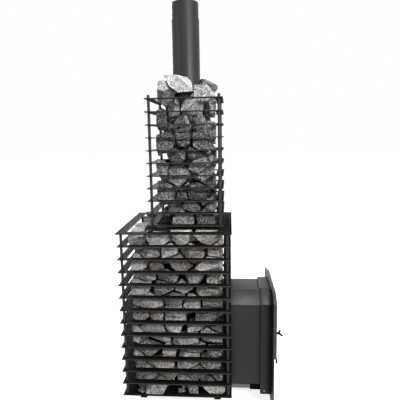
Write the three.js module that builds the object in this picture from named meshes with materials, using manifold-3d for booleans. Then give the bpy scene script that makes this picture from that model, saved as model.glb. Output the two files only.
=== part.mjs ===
// Wood-burning sauna stove with two stone cages.
// Millimetres, +Z up, +X towards the fire door. The floor is Z = 0 and the footprint is centred on the origin.
import * as THREE from 'three';
import Module from 'manifold-3d';
import { ConvexGeometry } from 'three/addons/geometries/ConvexGeometry.js';
import { mergeVertices } from 'three/addons/utils/BufferGeometryUtils.js';

const wasm = await Module();
wasm.setup();

// Gap between pieces that are welded to, or rest on, each other.
const SEAM = 0.3;
// Corners of a joined or cut piece that are closer than this are one corner.
const WELD = 0.05;
// Radial play of a pin in its barrel.
const PIN_PLAY = 0.1;

// Leg frame: two rails under the cage and the tunnel, on four posts.
const LEG_HEIGHT = 80;
const RAIL_HEIGHT = 18;
const RAIL_WIDTH = 20;
const RAIL_INSET = 3;
const POST_SIZE = 30;
const POST_SETBACK = 50;
const SPACER_LENGTH = 45;
const SPACER_DROP = 6;

// Flat strip and round rod that both cages are welded from.
const STRIP_WIDTH = 32;
const STRIP_THICKNESS = 4;
const ROD_DIAMETER = 12;
const ROD_SIDES = 12;
const ROD_HOLE_SIDES = 6;

// Lower cage.
const LOWER_WIDTH = 470;
const LOWER_PITCH = 55.2;
const LOWER_RING_COUNT = 12;
const FLANGE_WIDTH = 40;
const FLANGE_OVERHANG = 4;

// Upper cage, round the flue. Its axis lies nearer to the door than the lower cage's.
const UPPER_WIDTH = 320;
const UPPER_PITCH = 52.8;
const UPPER_RING_COUNT = 11;
const UPPER_SHIFT = 46;
const UPPER_FOOT = 8;
const ROD_TIP = 14;
const ROD_ROUND = 4;
const BEARER_WIDTH = 20;
const BEARER_THICKNESS = 4;
const BEARER_REST = 12;

// Firebox and fuel tunnel, both with a chamfered roof.
const SHELL_WALL = 4;
const ROOF_CHAMFER_WIDTH = 62;
const ROOF_CHAMFER_HEIGHT = 46;
const FIREBOX_LENGTH = 270;
const FIREBOX_WIDTH = 272;
const FIREBOX_HEIGHT = 556;
const TUNNEL_LENGTH = 274;
const TUNNEL_WIDTH = 266;
const TUNNEL_HEIGHT = 421;
const TUNNEL_CLEARANCE = 6;

// Collar round the tunnel's outer end.
const COLLAR_LENGTH = 47;
const COLLAR_WALL = 3;
const COLLAR_STAND_OFF = 9;
const COLLAR_DROP = 34;

// Flue.
const FLUE_DIAMETER = 120;
const FLUE_WALL = 2;
const FLUE_RIM = 1;
const FLUE_ABOVE_CAGE = 335;
const SPIGOT_DIAMETER = 115;
const SPIGOT_WALL = 2;
const SPIGOT_RISE = 67;
const SPIGOT_DEPTH = 60;
const SPIGOT_RIM = 3;
const FLUE_SIDES = 24;

// Grate, shelf, baffle and ash drawer.
const GRATE_RISE = 112;
const GRATE_THICKNESS = 10;
const GRATE_PLAY = 2;
const GRATE_SKIRT = 8;
const GRATE_SLOT_COUNT = 7;
const GRATE_SLOT_WIDTH = 12;
const GRATE_SLOT_MARGIN = 30;
const SHELF_THICKNESS = 5;
const BAFFLE_THICKNESS = 6;
const BAFFLE_BELOW_ROOF = 90;
const BAFFLE_SMOKE_GAP = 70;
const DRAWER_WIDTH = 200;
const DRAWER_HEIGHT = 78;
const DRAWER_WALL = 2;
const DRAWER_BACK_SPACE = 30;
const DRAWER_PLAY = 2;
const DRAWER_FRONT_THICKNESS = 3.5;
const DRAWER_FRONT_OVERLAP = 10;
const PULL_DIAMETER = 9;
const PULL_REACH = 36;
const PULL_DROP = 40;
const PULL_SIDES = 8;
const PULL_STEPS = 6;

// Portal plate.
const PORTAL_WIDTH = 450;
const PORTAL_HEIGHT = 532;
const PORTAL_THICKNESS = 5;
const PORTAL_CHAMFER_WIDTH = 53;
const PORTAL_CHAMFER_HEIGHT = 31;
const FUEL_LEDGE = 8;
const FUEL_SILL = 270;

// Fire door: a folded pan with a window, shut against the portal plate.
const DOOR_DEPTH = 9;
const DOOR_SKIN = 3;
const DOOR_RIM = 3;
const DOOR_GAP = 0.8;
const DOOR_MARGIN = 6;
const DOOR_HINGE_MARGIN = 24;
const DOOR_BOTTOM = 255;
const SEAL_WIDTH = 8;
const SEAL_INSET = 3;
const RETAINER_PLAY = 1.5;
const RETAINER_LIP = 1.4;
const GLASS_INSET = 6;
const GLASS_THICKNESS = 4;
const GLASS_PLAY = 0.5;
const WINDOW_INSET = 14;

// Lift-off hinges at the door's far edge.
const HINGE_RADIUS = 7;
const HINGE_PIN_DIAMETER = 8;
const HINGE_PIN_SIDES = 12;
const HINGE_BARREL = 30;
const HINGE_BRACKET = 20;
const HINGE_INSET = 12;
const HINGE_END = 45;

// Latch: a forked handle outside and a cam inside, which turns under a keeper on the portal plate.
const LATCH_INSET = 47;
const LATCH_HEIGHT = 352;
const LATCH_SHAFT_DIAMETER = 10;
const LATCH_SHAFT_SIDES = 12;
const LATCH_REACH = 16;
const LATCH_ARM_WIDTH = 7;
const LATCH_ARM_THICKNESS = 6;
const LATCH_LOWER_ARM = 20;
const LATCH_LOWER_ANGLE = 36;
const LATCH_UPPER_ARM = 13;
const LATCH_UPPER_ANGLE = 62;
const CAM_LENGTH = 20;
const CAM_WIDTH = 12;
const CAM_THICKNESS = 1.8;
const CAM_PLAY = 0.5;
const KEEPER_WIDTH = 8;
const KEEPER_HEIGHT = 30;
const KEEPER_BITE = 6;

// Stones. The spread, the stagger, the tilt and the lean are slopes and shares, and a pattern starts a random row.
const STONE_WIDTH = 92;
const STONE_HEIGHT = 56;
const STONE_REACH = 180;
const STONE_GROOVE = 13;
const STONE_BITE = 4;
const STONE_BED = 8;
const STONE_CLEARANCE = 2;
const STONE_SPREAD = 0.32;
const STONE_SETTLE = 0.2;
const STONE_SINK = 0.2;
const STONE_FLATNESS = 2;
const STONE_STAGGER = 0.22;
const STONE_TILT = 0.22;
const STONE_INSET = 10;
const STONE_LEAST_EDGE = 12;
const HEAP_HEIGHT = 92;
const HEAP_RADIUS = 95;
const HEAP_ANGLES = [-72, -16, 32, 88, 142, 200];
const HEAP_LIFTS = [36, -28, 10, 0, 0, -30];
const HEAP_CRESTS = [1, 0.6, 1, 0.8, 0.8, 0.74];
const HEAP_LEANS = [0.7, 0.7, 1, 0.7, 0.7, 0.7];
const FRONT_PATTERN = 13;
const BACK_PATTERN = 23;
const LEFT_PATTERN = 37;
const ROOF_PATTERN = 41;
const UPPER_PATTERN = 59;

// Levels and places that follow from the sizes above.
const baseTop = LEG_HEIGHT + STRIP_THICKNESS;
const flangeBottom = LEG_HEIGHT + LOWER_PITCH * (LOWER_RING_COUNT + 1);
const flangeTop = flangeBottom + STRIP_THICKNESS;
const flangeInner = LOWER_WIDTH / 2 + FLANGE_OVERHANG - FLANGE_WIDTH;
const rodInset = STRIP_WIDTH / 2;
const bearerTop = flangeTop + SEAM + BEARER_THICKNESS;
const upperRodBottom = bearerTop + SEAM;
const upperFirstRing = upperRodBottom + UPPER_FOOT;
const upperTopRing = upperFirstRing + UPPER_PITCH * (UPPER_RING_COUNT - 1) + STRIP_THICKNESS;
const shellBottom = baseTop + SEAM;
const shellFloor = shellBottom + SHELL_WALL;
const fireboxTop = shellBottom + FIREBOX_HEIGHT;
const fireboxFront = FIREBOX_LENGTH / 2;
const fireboxInner = FIREBOX_WIDTH / 2 - SHELL_WALL;
const tunnelBack = fireboxFront + SEAM;
const tunnelFront = tunnelBack + TUNNEL_LENGTH;
const tunnelTop = shellBottom + TUNNEL_HEIGHT;
const tunnelInner = TUNNEL_WIDTH / 2 - SHELL_WALL;
const portalBack = tunnelFront + SEAM;
const portalFront = portalBack + PORTAL_THICKNESS;
const flueTop = upperTopRing + FLUE_ABOVE_CAGE;
const grateTop = shellFloor + GRATE_RISE;
const drawerBottom = shellFloor + SEAM;
const drawerTop = drawerBottom + DRAWER_HEIGHT;
const doorBack = portalFront + DOOR_GAP;
const doorFront = doorBack + DOOR_DEPTH;
const skinBack = doorFront - DOOR_SKIN;

const stove = new THREE.Group();

function paintedSteel(color) {
  return new THREE.MeshStandardMaterial({ color, roughness: 0.55, metalness: 0.6 });
}

const BLACK_STEEL = 0x2a2b2d;
const FLUE_STEEL = 0x3c3d40;
const CAST_IRON = 0x303030;
const STONE_GREY = 0x8b8a87;

function addPiece(name, geometry, material, position = new THREE.Vector3()) {
  const piece = new THREE.Mesh(geometry, material);
  piece.name = name;
  piece.position.copy(position);
  stove.add(piece);
}

// A closed solid for joining and cutting.
function solid(geometry) {
  const bare = geometry.clone();
  bare.deleteAttribute('normal');
  bare.deleteAttribute('uv');
  const merged = mergeVertices(bare, 1e-4);
  return new wasm.Manifold(new wasm.Mesh({
    numProp: 3,
    vertProperties: new Float32Array(merged.attributes.position.array),
    triVerts: new Uint32Array(merged.index.array),
  }));
}

// The surface of a solid. Corners closer than the weld become one, and triangles that collapse are dropped.
function geometryOf(body) {
  const mesh = body.getMesh();
  const surface = new THREE.BufferGeometry();
  surface.setAttribute('position', new THREE.BufferAttribute(mesh.vertProperties, 3));
  surface.setIndex(new THREE.BufferAttribute(mesh.triVerts, 1));
  const welded = mergeVertices(surface, WELD);
  const corners = Array.from(welded.index.array);
  const triangles = [];
  for (let start = 0; start < corners.length; start += 3) {
    const triangle = corners.slice(start, start + 3);
    if (new Set(triangle).size === 3) triangles.push(...triangle);
  }
  welded.setIndex(triangles);
  welded.computeVertexNormals();
  return welded;
}

function joined(geometries) {
  const bodies = geometries.map(solid);
  return geometryOf(bodies.reduce((whole, body) => whole.add(body)));
}

function cut(geometry, tools) {
  const bodies = tools.map(solid);
  return geometryOf(bodies.reduce((whole, body) => whole.subtract(body), solid(geometry)));
}

function block(x, y, z) {
  const geometry = new THREE.BoxGeometry(x[1] - x[0], y[1] - y[0], z[1] - z[0]);
  return geometry.translate((x[0] + x[1]) / 2, (y[0] + y[1]) / 2, (z[0] + z[1]) / 2);
}

// A round bar along Z that starts at z and stands on the point x, y.
function uprightBar(diameter, sides, x, y, z) {
  const geometry = new THREE.CylinderGeometry(diameter / 2, diameter / 2, z[1] - z[0], sides);
  return geometry.rotateX(Math.PI / 2).translate(x, y, (z[0] + z[1]) / 2);
}

// A hole of this many sides clears a round bar when its flats do.
function holeDiameter(barDiameter, play, sides) {
  return (barDiameter + 2 * play) / Math.cos(Math.PI / sides);
}

function tracePolygon(path, points) {
  path.moveTo(points[0][0], points[0][1]);
  points.slice(1).forEach(([u, v]) => path.lineTo(u, v));
  path.closePath();
  return path;
}

function regularPolygon(centre, radius, sides) {
  return Array.from({ length: sides }, (_, side) => {
    const angle = (2 * Math.PI * side) / sides;
    return [centre.x + radius * Math.cos(angle), centre.y + radius * Math.sin(angle)];
  });
}

// House outline in Y and Z: upright sides, flat bottom, and a roof with two chamfers.
function house(halfWidth, bottom, top, chamferWidth, chamferHeight) {
  return { halfWidth, bottom, top, chamferWidth, chamferHeight };
}

// The same outline with every side moved out by a distance.
function grown(outline, distance) {
  const { chamferWidth: width, chamferHeight: height } = outline;
  const slope = Math.hypot(width, height);
  return house(
    outline.halfWidth + distance,
    outline.bottom - distance,
    outline.top + distance,
    width + distance - (distance * (slope - width)) / height,
    height + distance - (distance * (slope - height)) / width,
  );
}

function housePoints({ halfWidth, bottom, top, chamferWidth, chamferHeight }) {
  return [
    [-halfWidth, bottom],
    [halfWidth, bottom],
    [halfWidth, top - chamferHeight],
    [halfWidth - chamferWidth, top],
    [-halfWidth + chamferWidth, top],
    [-halfWidth, top - chamferHeight],
  ];
}

const alongX = new THREE.Matrix4().makeBasis(
  new THREE.Vector3(0, 1, 0),
  new THREE.Vector3(0, 0, 1),
  new THREE.Vector3(1, 0, 0),
);

// An outline in Y and Z drawn out along X, with openings through it.
function panel(points, openings, x) {
  const shape = tracePolygon(new THREE.Shape(), points);
  openings.forEach((opening) => shape.holes.push(tracePolygon(new THREE.Path(), opening)));
  const geometry = new THREE.ExtrudeGeometry(shape, { depth: x[1] - x[0], bevelEnabled: false });
  return geometry.applyMatrix4(alongX).translate(x[0], 0, 0);
}

function rectangle(y, z) {
  return [[y[0], z[0]], [y[1], z[0]], [y[1], z[1]], [y[0], z[1]]];
}

// Leg frame
const railEdge = TUNNEL_WIDTH / 2 - RAIL_INSET;
const railZ = [LEG_HEIGHT - SEAM - RAIL_HEIGHT, LEG_HEIGHT - SEAM];
const spacerZ = [railZ[0] - SPACER_DROP, railZ[1]];
const collarBack = portalBack - SEAM - COLLAR_LENGTH;
const postEdge = LOWER_WIDTH / 2 - POST_SETBACK;
const railEnd = collarBack - SEAM;

function legFrame() {
  const bars = [];
  for (const side of [-1, 1]) {
    const outer = side * railEdge;
    const inner = side * (railEdge - RAIL_WIDTH);
    const railY = [Math.min(outer, inner), Math.max(outer, inner)];
    bars.push(block([-postEdge, railEnd], railY, railZ));
    bars.push(block([railEnd - SPACER_LENGTH, railEnd], railY, spacerZ));
    for (const post of [-postEdge, postEdge - POST_SIZE]) {
      bars.push(block([post, post + POST_SIZE], railY, [0, railZ[1]]));
    }
  }
  for (const post of [-postEdge, postEdge - POST_SIZE]) {
    bars.push(block([post, post + POST_SIZE], [-railEdge + RAIL_WIDTH / 2, railEdge - RAIL_WIDTH / 2], railZ));
  }
  return joined(bars);
}

addPiece('leg_frame', legFrame(), paintedSteel(BLACK_STEEL));

// Lower cage
const lowerHalf = LOWER_WIDTH / 2;
const baseCentre = new THREE.Vector3(0, 0, LEG_HEIGHT);

function squarePoints(half) {
  return rectangle([-half, half], [-half, half]);
}

// A flat frame of strip with a rod hole in each corner. An open frame leaves out the side towards the tunnel.
function stripRing(half, opening) {
  const inner = half - STRIP_WIDTH;
  const hole = holeDiameter(ROD_DIAMETER, SEAM, ROD_HOLE_SIDES) / 2;
  const shape = new THREE.Shape();
  if (opening) {
    tracePolygon(shape, [
      [half, -half], [half, -opening], [inner, -opening], [inner, -inner], [-inner, -inner], [-inner, inner],
      [inner, inner], [inner, opening], [half, opening], [half, half], [-half, half], [-half, -half],
    ]);
  } else {
    tracePolygon(shape, squarePoints(half));
    shape.holes.push(tracePolygon(new THREE.Path(), squarePoints(inner)));
  }
  for (const x of [-1, 1]) {
    for (const y of [-1, 1]) {
      const centre = new THREE.Vector2(x * (half - rodInset), y * (half - rodInset));
      shape.holes.push(tracePolygon(new THREE.Path(), regularPolygon(centre, hole, ROD_HOLE_SIDES)));
    }
  }
  return new THREE.ExtrudeGeometry(shape, { depth: STRIP_THICKNESS, bevelEnabled: false });
}

addPiece('base_plate', block([-lowerHalf, lowerHalf], [-lowerHalf, lowerHalf], [0, STRIP_THICKNESS]),
  paintedSteel(BLACK_STEEL), baseCentre);

for (let level = 1; level <= LOWER_RING_COUNT; level += 1) {
  const ringBottom = LEG_HEIGHT + LOWER_PITCH * level;
  const meetsTunnel = ringBottom < tunnelTop + TUNNEL_CLEARANCE;
  const opening = meetsTunnel ? TUNNEL_WIDTH / 2 + TUNNEL_CLEARANCE : 0;
  addPiece(`lower_ring_${String(level).padStart(2, '0')}`, stripRing(lowerHalf, opening),
    paintedSteel(BLACK_STEEL), new THREE.Vector3(0, 0, ringBottom));
}

function lowerFlange() {
  const shape = tracePolygon(new THREE.Shape(), squarePoints(lowerHalf + FLANGE_OVERHANG));
  shape.holes.push(tracePolygon(new THREE.Path(), squarePoints(flangeInner)));
  return new THREE.ExtrudeGeometry(shape, { depth: STRIP_THICKNESS, bevelEnabled: false });
}

addPiece('lower_flange', lowerFlange(), paintedSteel(BLACK_STEEL), new THREE.Vector3(0, 0, flangeBottom));

// Rods stand in the corners, named as seen with the door on the right.
const cornerNames = [
  ['front_left', -1, -1],
  ['front_right', 1, -1],
  ['back_left', -1, 1],
  ['back_right', 1, 1],
];

for (const [corner, x, y] of cornerNames) {
  const reach = lowerHalf - rodInset;
  const rod = uprightBar(ROD_DIAMETER, ROD_SIDES, x * reach, y * reach, [baseTop + SEAM, flangeBottom - SEAM]);
  addPiece(`lower_rod_${corner}`, rod, paintedSteel(BLACK_STEEL));
}

// Upper cage
const upperHalf = UPPER_WIDTH / 2;
const upperReach = upperHalf - rodInset;

// Two bars on the flange carry the upper rods, and two cross bars hold them apart, clear of the flue.
function cageBearer() {
  const barEnd = flangeInner + BEARER_REST;
  const z = [flangeTop + SEAM, bearerTop];
  const bars = [];
  for (const side of [-1, 1]) {
    const middle = UPPER_SHIFT + side * upperReach;
    const across = side * upperReach;
    bars.push(block([middle - BEARER_WIDTH / 2, middle + BEARER_WIDTH / 2], [-barEnd, barEnd], z));
    bars.push(block([UPPER_SHIFT - upperReach, UPPER_SHIFT + upperReach],
      [across - BEARER_WIDTH / 2, across + BEARER_WIDTH / 2], z));
  }
  return joined(bars);
}

addPiece('cage_bearer', cageBearer(), paintedSteel(BLACK_STEEL));

for (let level = 0; level < UPPER_RING_COUNT; level += 1) {
  const place = new THREE.Vector3(UPPER_SHIFT, 0, upperFirstRing + UPPER_PITCH * level);
  addPiece(`upper_ring_${String(level + 1).padStart(2, '0')}`, stripRing(upperHalf, 0),
    paintedSteel(BLACK_STEEL), place);
}

function upperRod() {
  const radius = ROD_DIAMETER / 2;
  const length = upperTopRing + ROD_TIP - upperRodBottom;
  const profile = [
    new THREE.Vector2(0, 0),
    new THREE.Vector2(radius, 0),
    new THREE.Vector2(radius, length - ROD_ROUND),
    new THREE.Vector2(radius * Math.SQRT1_2, length - ROD_ROUND * (1 - Math.SQRT1_2)),
    new THREE.Vector2(0, length),
  ];
  return new THREE.LatheGeometry(profile, ROD_SIDES).rotateX(Math.PI / 2);
}

for (const [corner, x, y] of cornerNames) {
  const place = new THREE.Vector3(UPPER_SHIFT + x * upperReach, y * upperReach, upperRodBottom);
  addPiece(`upper_rod_${corner}`, upperRod(), paintedSteel(BLACK_STEEL), place);
}

// Firebox and tunnel
const fireboxOutline = house(FIREBOX_WIDTH / 2, shellBottom, fireboxTop, ROOF_CHAMFER_WIDTH, ROOF_CHAMFER_HEIGHT);
const tunnelOutline = house(TUNNEL_WIDTH / 2, shellBottom, tunnelTop, ROOF_CHAMFER_WIDTH, ROOF_CHAMFER_HEIGHT);
const tunnelMouth = grown(tunnelOutline, -SHELL_WALL);
const flueBore = FLUE_DIAMETER / 2 - FLUE_WALL;

function fireboxShell() {
  const outer = panel(housePoints(fireboxOutline), [], [-fireboxFront, fireboxFront]);
  const room = panel(housePoints(grown(fireboxOutline, -SHELL_WALL)), [],
    [-fireboxFront + SHELL_WALL, fireboxFront - SHELL_WALL]);
  const mouth = panel(housePoints(tunnelMouth), [], [0, fireboxFront + SHELL_WALL]);
  const flueHole = uprightBar(2 * flueBore, FLUE_SIDES, UPPER_SHIFT, 0,
    [fireboxTop - 2 * SHELL_WALL, fireboxTop + SHELL_WALL]);
  return cut(outer, [room, mouth, flueHole]);
}

addPiece('firebox_shell', fireboxShell(), paintedSteel(BLACK_STEEL));
addPiece('fuel_tunnel', panel(housePoints(tunnelOutline), [housePoints(tunnelMouth)], [tunnelBack, tunnelFront]),
  paintedSteel(BLACK_STEEL));

function tunnelCollar() {
  const outline = grown(tunnelOutline, COLLAR_STAND_OFF);
  outline.bottom -= COLLAR_DROP;
  return panel(housePoints(outline), [housePoints(grown(outline, -COLLAR_WALL))], [collarBack, portalBack - SEAM]);
}

addPiece('tunnel_collar', tunnelCollar(), paintedSteel(BLACK_STEEL));

// Flue
// A pipe whose outer edge is rounded off over the height of its rim.
function tube(diameter, wall, bottom, top, rim) {
  const outer = diameter / 2;
  const inner = outer - wall;
  const profile = [
    new THREE.Vector2(inner, bottom),
    new THREE.Vector2(outer, bottom),
    new THREE.Vector2(outer, top - rim),
    new THREE.Vector2(outer - wall / 2, top),
    new THREE.Vector2(inner, top),
    new THREE.Vector2(inner, bottom),
  ];
  return new THREE.LatheGeometry(profile, FLUE_SIDES).rotateX(Math.PI / 2);
}

const flueAxis = new THREE.Vector3(UPPER_SHIFT, 0, 0);
addPiece('flue_pipe', tube(FLUE_DIAMETER, FLUE_WALL, fireboxTop + SEAM, flueTop, FLUE_RIM),
  paintedSteel(FLUE_STEEL), flueAxis);
addPiece('flue_spigot',
  tube(SPIGOT_DIAMETER, SPIGOT_WALL, flueTop - SPIGOT_DEPTH, flueTop + SPIGOT_RISE, SPIGOT_RIM),
  paintedSteel(FLUE_STEEL), flueAxis);

// Grate, shelf and baffle
function grate() {
  const reach = fireboxInner - GRATE_PLAY;
  const length = fireboxFront - SHELL_WALL - GRATE_PLAY;
  const table = block([-length, length], [-reach, reach], [shellFloor + SEAM, grateTop]);
  const arch = block([-2 * length, 2 * length], [-reach + GRATE_SKIRT, reach - GRATE_SKIRT],
    [shellBottom, grateTop - GRATE_THICKNESS]);
  const slots = [];
  const pitch = (2 * (reach - GRATE_SLOT_MARGIN)) / (GRATE_SLOT_COUNT - 1);
  for (let slot = 0; slot < GRATE_SLOT_COUNT; slot += 1) {
    const middle = -reach + GRATE_SLOT_MARGIN + pitch * slot;
    slots.push(block([-length + GRATE_SLOT_MARGIN, length - GRATE_SLOT_MARGIN],
      [middle - GRATE_SLOT_WIDTH / 2, middle + GRATE_SLOT_WIDTH / 2],
      [grateTop - 2 * GRATE_THICKNESS, grateTop + GRATE_THICKNESS]));
  }
  return cut(table, [arch, ...slots]);
}

addPiece('grate', grate(), new THREE.MeshStandardMaterial({ color: CAST_IRON, roughness: 0.8, metalness: 0.5 }));
addPiece('tunnel_shelf',
  block([tunnelBack, tunnelFront], [-tunnelInner + SEAM, tunnelInner - SEAM], [grateTop - SHELF_THICKNESS, grateTop]),
  paintedSteel(BLACK_STEEL));

const baffleTop = fireboxTop - BAFFLE_BELOW_ROOF;
addPiece('baffle',
  block([-fireboxFront + SHELL_WALL + SEAM, fireboxFront - SHELL_WALL - BAFFLE_SMOKE_GAP],
    [-fireboxInner + SEAM, fireboxInner - SEAM], [baffleTop - BAFFLE_THICKNESS, baffleTop]),
  paintedSteel(BLACK_STEEL));

// Portal plate
const fuelOpening = grown(tunnelMouth, -FUEL_LEDGE);
fuelOpening.bottom = FUEL_SILL;
const drawerMouthHalf = DRAWER_WIDTH / 2 + DRAWER_PLAY;
const drawerMouth = rectangle([-drawerMouthHalf, drawerMouthHalf],
  [drawerBottom - SEAM, drawerTop + DRAWER_PLAY]);
const portalOutline = house(PORTAL_WIDTH / 2, 0, PORTAL_HEIGHT, PORTAL_CHAMFER_WIDTH, PORTAL_CHAMFER_HEIGHT);
addPiece('portal_plate',
  panel(housePoints(portalOutline), [housePoints(fuelOpening), drawerMouth], [portalBack, portalFront]),
  paintedSteel(BLACK_STEEL));

// Ash drawer
function ashDrawer() {
  const half = DRAWER_WIDTH / 2;
  const back = -fireboxFront + SHELL_WALL + DRAWER_BACK_SPACE;
  const front = portalFront + SEAM;
  const frontHalf = drawerMouthHalf + DRAWER_FRONT_OVERLAP;
  const tray = block([back, front + DRAWER_FRONT_THICKNESS], [-half, half], [drawerBottom, drawerTop]);
  const hollow = block([back + DRAWER_WALL, front - DRAWER_WALL], [-half + DRAWER_WALL, half - DRAWER_WALL],
    [drawerBottom + DRAWER_WALL, drawerTop + DRAWER_WALL]);
  const face = block([front, front + DRAWER_FRONT_THICKNESS], [-frontHalf, frontHalf],
    [drawerBottom, drawerTop + DRAWER_PLAY + DRAWER_FRONT_OVERLAP]);
  return geometryOf(solid(tray).subtract(solid(hollow)).add(solid(face)));
}

addPiece('ash_drawer', ashDrawer(), paintedSteel(BLACK_STEEL));

// A bent bar that stands out from the drawer's front and curls down.
function drawerPull() {
  const start = portalFront + 2 * SEAM + DRAWER_FRONT_THICKNESS;
  const height = (drawerBottom + drawerTop) / 2 + PULL_DROP / 2;
  const end = start + PULL_REACH - PULL_DIAMETER / 2;
  const line = new THREE.CurvePath();
  const bend = new THREE.Vector3(end, 0, height);
  line.add(new THREE.LineCurve3(new THREE.Vector3(start, 0, height), new THREE.Vector3((start + end) / 2, 0, height)));
  line.add(new THREE.QuadraticBezierCurve3(new THREE.Vector3((start + end) / 2, 0, height), bend,
    new THREE.Vector3(end, 0, height - PULL_DROP)));
  const ring = regularPolygon(new THREE.Vector2(), PULL_DIAMETER / 2, PULL_SIDES);
  const section = tracePolygon(new THREE.Shape(), ring);
  return new THREE.ExtrudeGeometry(section, { steps: PULL_STEPS, extrudePath: line });
}

addPiece('drawer_pull', drawerPull(), paintedSteel(BLACK_STEEL));

// Fire door
const hingeX = portalFront + SEAM + HINGE_RADIUS + SEAM;
const hingeY = PORTAL_WIDTH / 2 - HINGE_INSET;
const doorNear = -PORTAL_WIDTH / 2 + DOOR_MARGIN;
const doorFar = PORTAL_WIDTH / 2 - DOOR_HINGE_MARGIN;
const doorTop = PORTAL_HEIGHT - DOOR_MARGIN;
const latchY = -PORTAL_WIDTH / 2 + LATCH_INSET;
const hingeLevels = [
  ['lower', DOOR_BOTTOM + HINGE_END],
  ['upper', doorTop - PORTAL_CHAMFER_HEIGHT - HINGE_END],
];

// The door's outline: it is chamfered like the portal plate, with its hinge edge set in.
const doorMiddle = (doorNear + doorFar) / 2;
const doorOutline = house((doorFar - doorNear) / 2, DOOR_BOTTOM, doorTop, PORTAL_CHAMFER_WIDTH, PORTAL_CHAMFER_HEIGHT);

function doorPoints(inset) {
  return housePoints(grown(doorOutline, -inset)).map(([y, z]) => [y + doorMiddle, z]);
}

function alongXBar(diameter, sides, y, z, x) {
  const geometry = new THREE.CylinderGeometry(diameter / 2, diameter / 2, x[1] - x[0], sides);
  return geometry.rotateZ(-Math.PI / 2).translate((x[0] + x[1]) / 2, y, z);
}

function doorFrame() {
  const windowOutline = housePoints(grown(fuelOpening, -WINDOW_INSET));
  const skin = panel(doorPoints(0), [windowOutline], [skinBack, doorFront]);
  const rim = panel(doorPoints(0), [doorPoints(DOOR_RIM)], [doorBack, skinBack + DOOR_SKIN / 2]);
  const shaftHole = alongXBar(holeDiameter(LATCH_SHAFT_DIAMETER, PIN_PLAY, LATCH_SHAFT_SIDES), LATCH_SHAFT_SIDES,
    latchY, LATCH_HEIGHT, [doorBack, doorFront + DOOR_SKIN]);
  let body = solid(skin).add(solid(rim)).subtract(solid(shaftHole));
  for (const [, level] of hingeLevels) {
    const z = [level + SEAM, level + SEAM + HINGE_BARREL];
    const barrel = uprightBar(2 * HINGE_RADIUS, HINGE_PIN_SIDES, hingeX, hingeY, z);
    const tab = block([hingeX, hingeX + HINGE_RADIUS / 2], [doorFar - DOOR_RIM, hingeY], z);
    const bore = uprightBar(holeDiameter(HINGE_PIN_DIAMETER, PIN_PLAY, HINGE_PIN_SIDES), HINGE_PIN_SIDES,
      hingeX, hingeY, [z[0] - HINGE_BARREL, z[1] + HINGE_BARREL]);
    body = body.add(solid(tab)).add(solid(barrel)).subtract(solid(bore));
  }
  return geometryOf(body);
}

addPiece('door_frame', doorFrame(), paintedSteel(BLACK_STEEL));

for (const [place, level] of hingeLevels) {
  const z = [level - HINGE_BRACKET, level];
  const foot = block([portalFront + SEAM, hingeX], [hingeY - HINGE_RADIUS, hingeY + HINGE_RADIUS], z);
  const knuckle = uprightBar(2 * HINGE_RADIUS, HINGE_PIN_SIDES, hingeX, hingeY, z);
  const pin = uprightBar(HINGE_PIN_DIAMETER, HINGE_PIN_SIDES, hingeX, hingeY, [z[0], level + HINGE_BARREL]);
  addPiece(`hinge_${place}`, joined([foot, knuckle, pin]), paintedSteel(BLACK_STEEL));
}

const glassX = [skinBack - SEAM - GLASS_THICKNESS, skinBack - SEAM];
const glassOutline = grown(fuelOpening, -GLASS_INSET);
addPiece('door_glass', panel(housePoints(glassOutline), [], glassX),
  new THREE.MeshStandardMaterial({ color: 0x15110d, roughness: 0.08, metalness: 0, transparent: true, opacity: 0.5 }));

function glassRetainer() {
  const outer = housePoints(grown(fuelOpening, RETAINER_PLAY));
  const rebate = housePoints(grown(glassOutline, GLASS_PLAY));
  const lipOpening = housePoints(grown(fuelOpening, -WINDOW_INSET));
  const back = glassX[0] - SEAM;
  const walls = panel(outer, [rebate], [back - RETAINER_LIP / 2, glassX[1]]);
  const lip = panel(outer, [lipOpening], [back - RETAINER_LIP, back]);
  return joined([walls, lip]);
}

addPiece('glass_retainer', glassRetainer(), paintedSteel(BLACK_STEEL));

const sealOuter = grown(fuelOpening, SEAL_INSET + SEAL_WIDTH);
addPiece('door_seal',
  panel(housePoints(sealOuter), [housePoints(grown(fuelOpening, SEAL_INSET))], [portalFront + SEAM, glassX[1]]),
  new THREE.MeshStandardMaterial({ color: 0x4a4845, roughness: 0.95, metalness: 0 }));

// Latch
const camX = [portalFront + CAM_PLAY, portalFront + CAM_PLAY + CAM_THICKNESS];

function latchHandle() {
  const elbow = doorFront + LATCH_REACH;
  const shaft = alongXBar(LATCH_SHAFT_DIAMETER, LATCH_SHAFT_SIDES, latchY, LATCH_HEIGHT, [camX[0], elbow]);
  const cam = block(camX, [latchY - CAM_WIDTH / 2, latchY + CAM_WIDTH / 2], [LATCH_HEIGHT - CAM_LENGTH, LATCH_HEIGHT]);
  const arm = (length, angle) => {
    const bar = new THREE.BoxGeometry(length, LATCH_ARM_WIDTH, LATCH_ARM_THICKNESS);
    bar.translate(length / 2, 0, 0).rotateY(THREE.MathUtils.degToRad(angle));
    return bar.translate(elbow - LATCH_ARM_THICKNESS / 2, latchY, LATCH_HEIGHT);
  };
  return joined([shaft, cam, arm(LATCH_LOWER_ARM, LATCH_LOWER_ANGLE), arm(LATCH_UPPER_ARM, -LATCH_UPPER_ANGLE)]);
}

addPiece('latch_handle', latchHandle(), paintedSteel(BLACK_STEEL));

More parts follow.
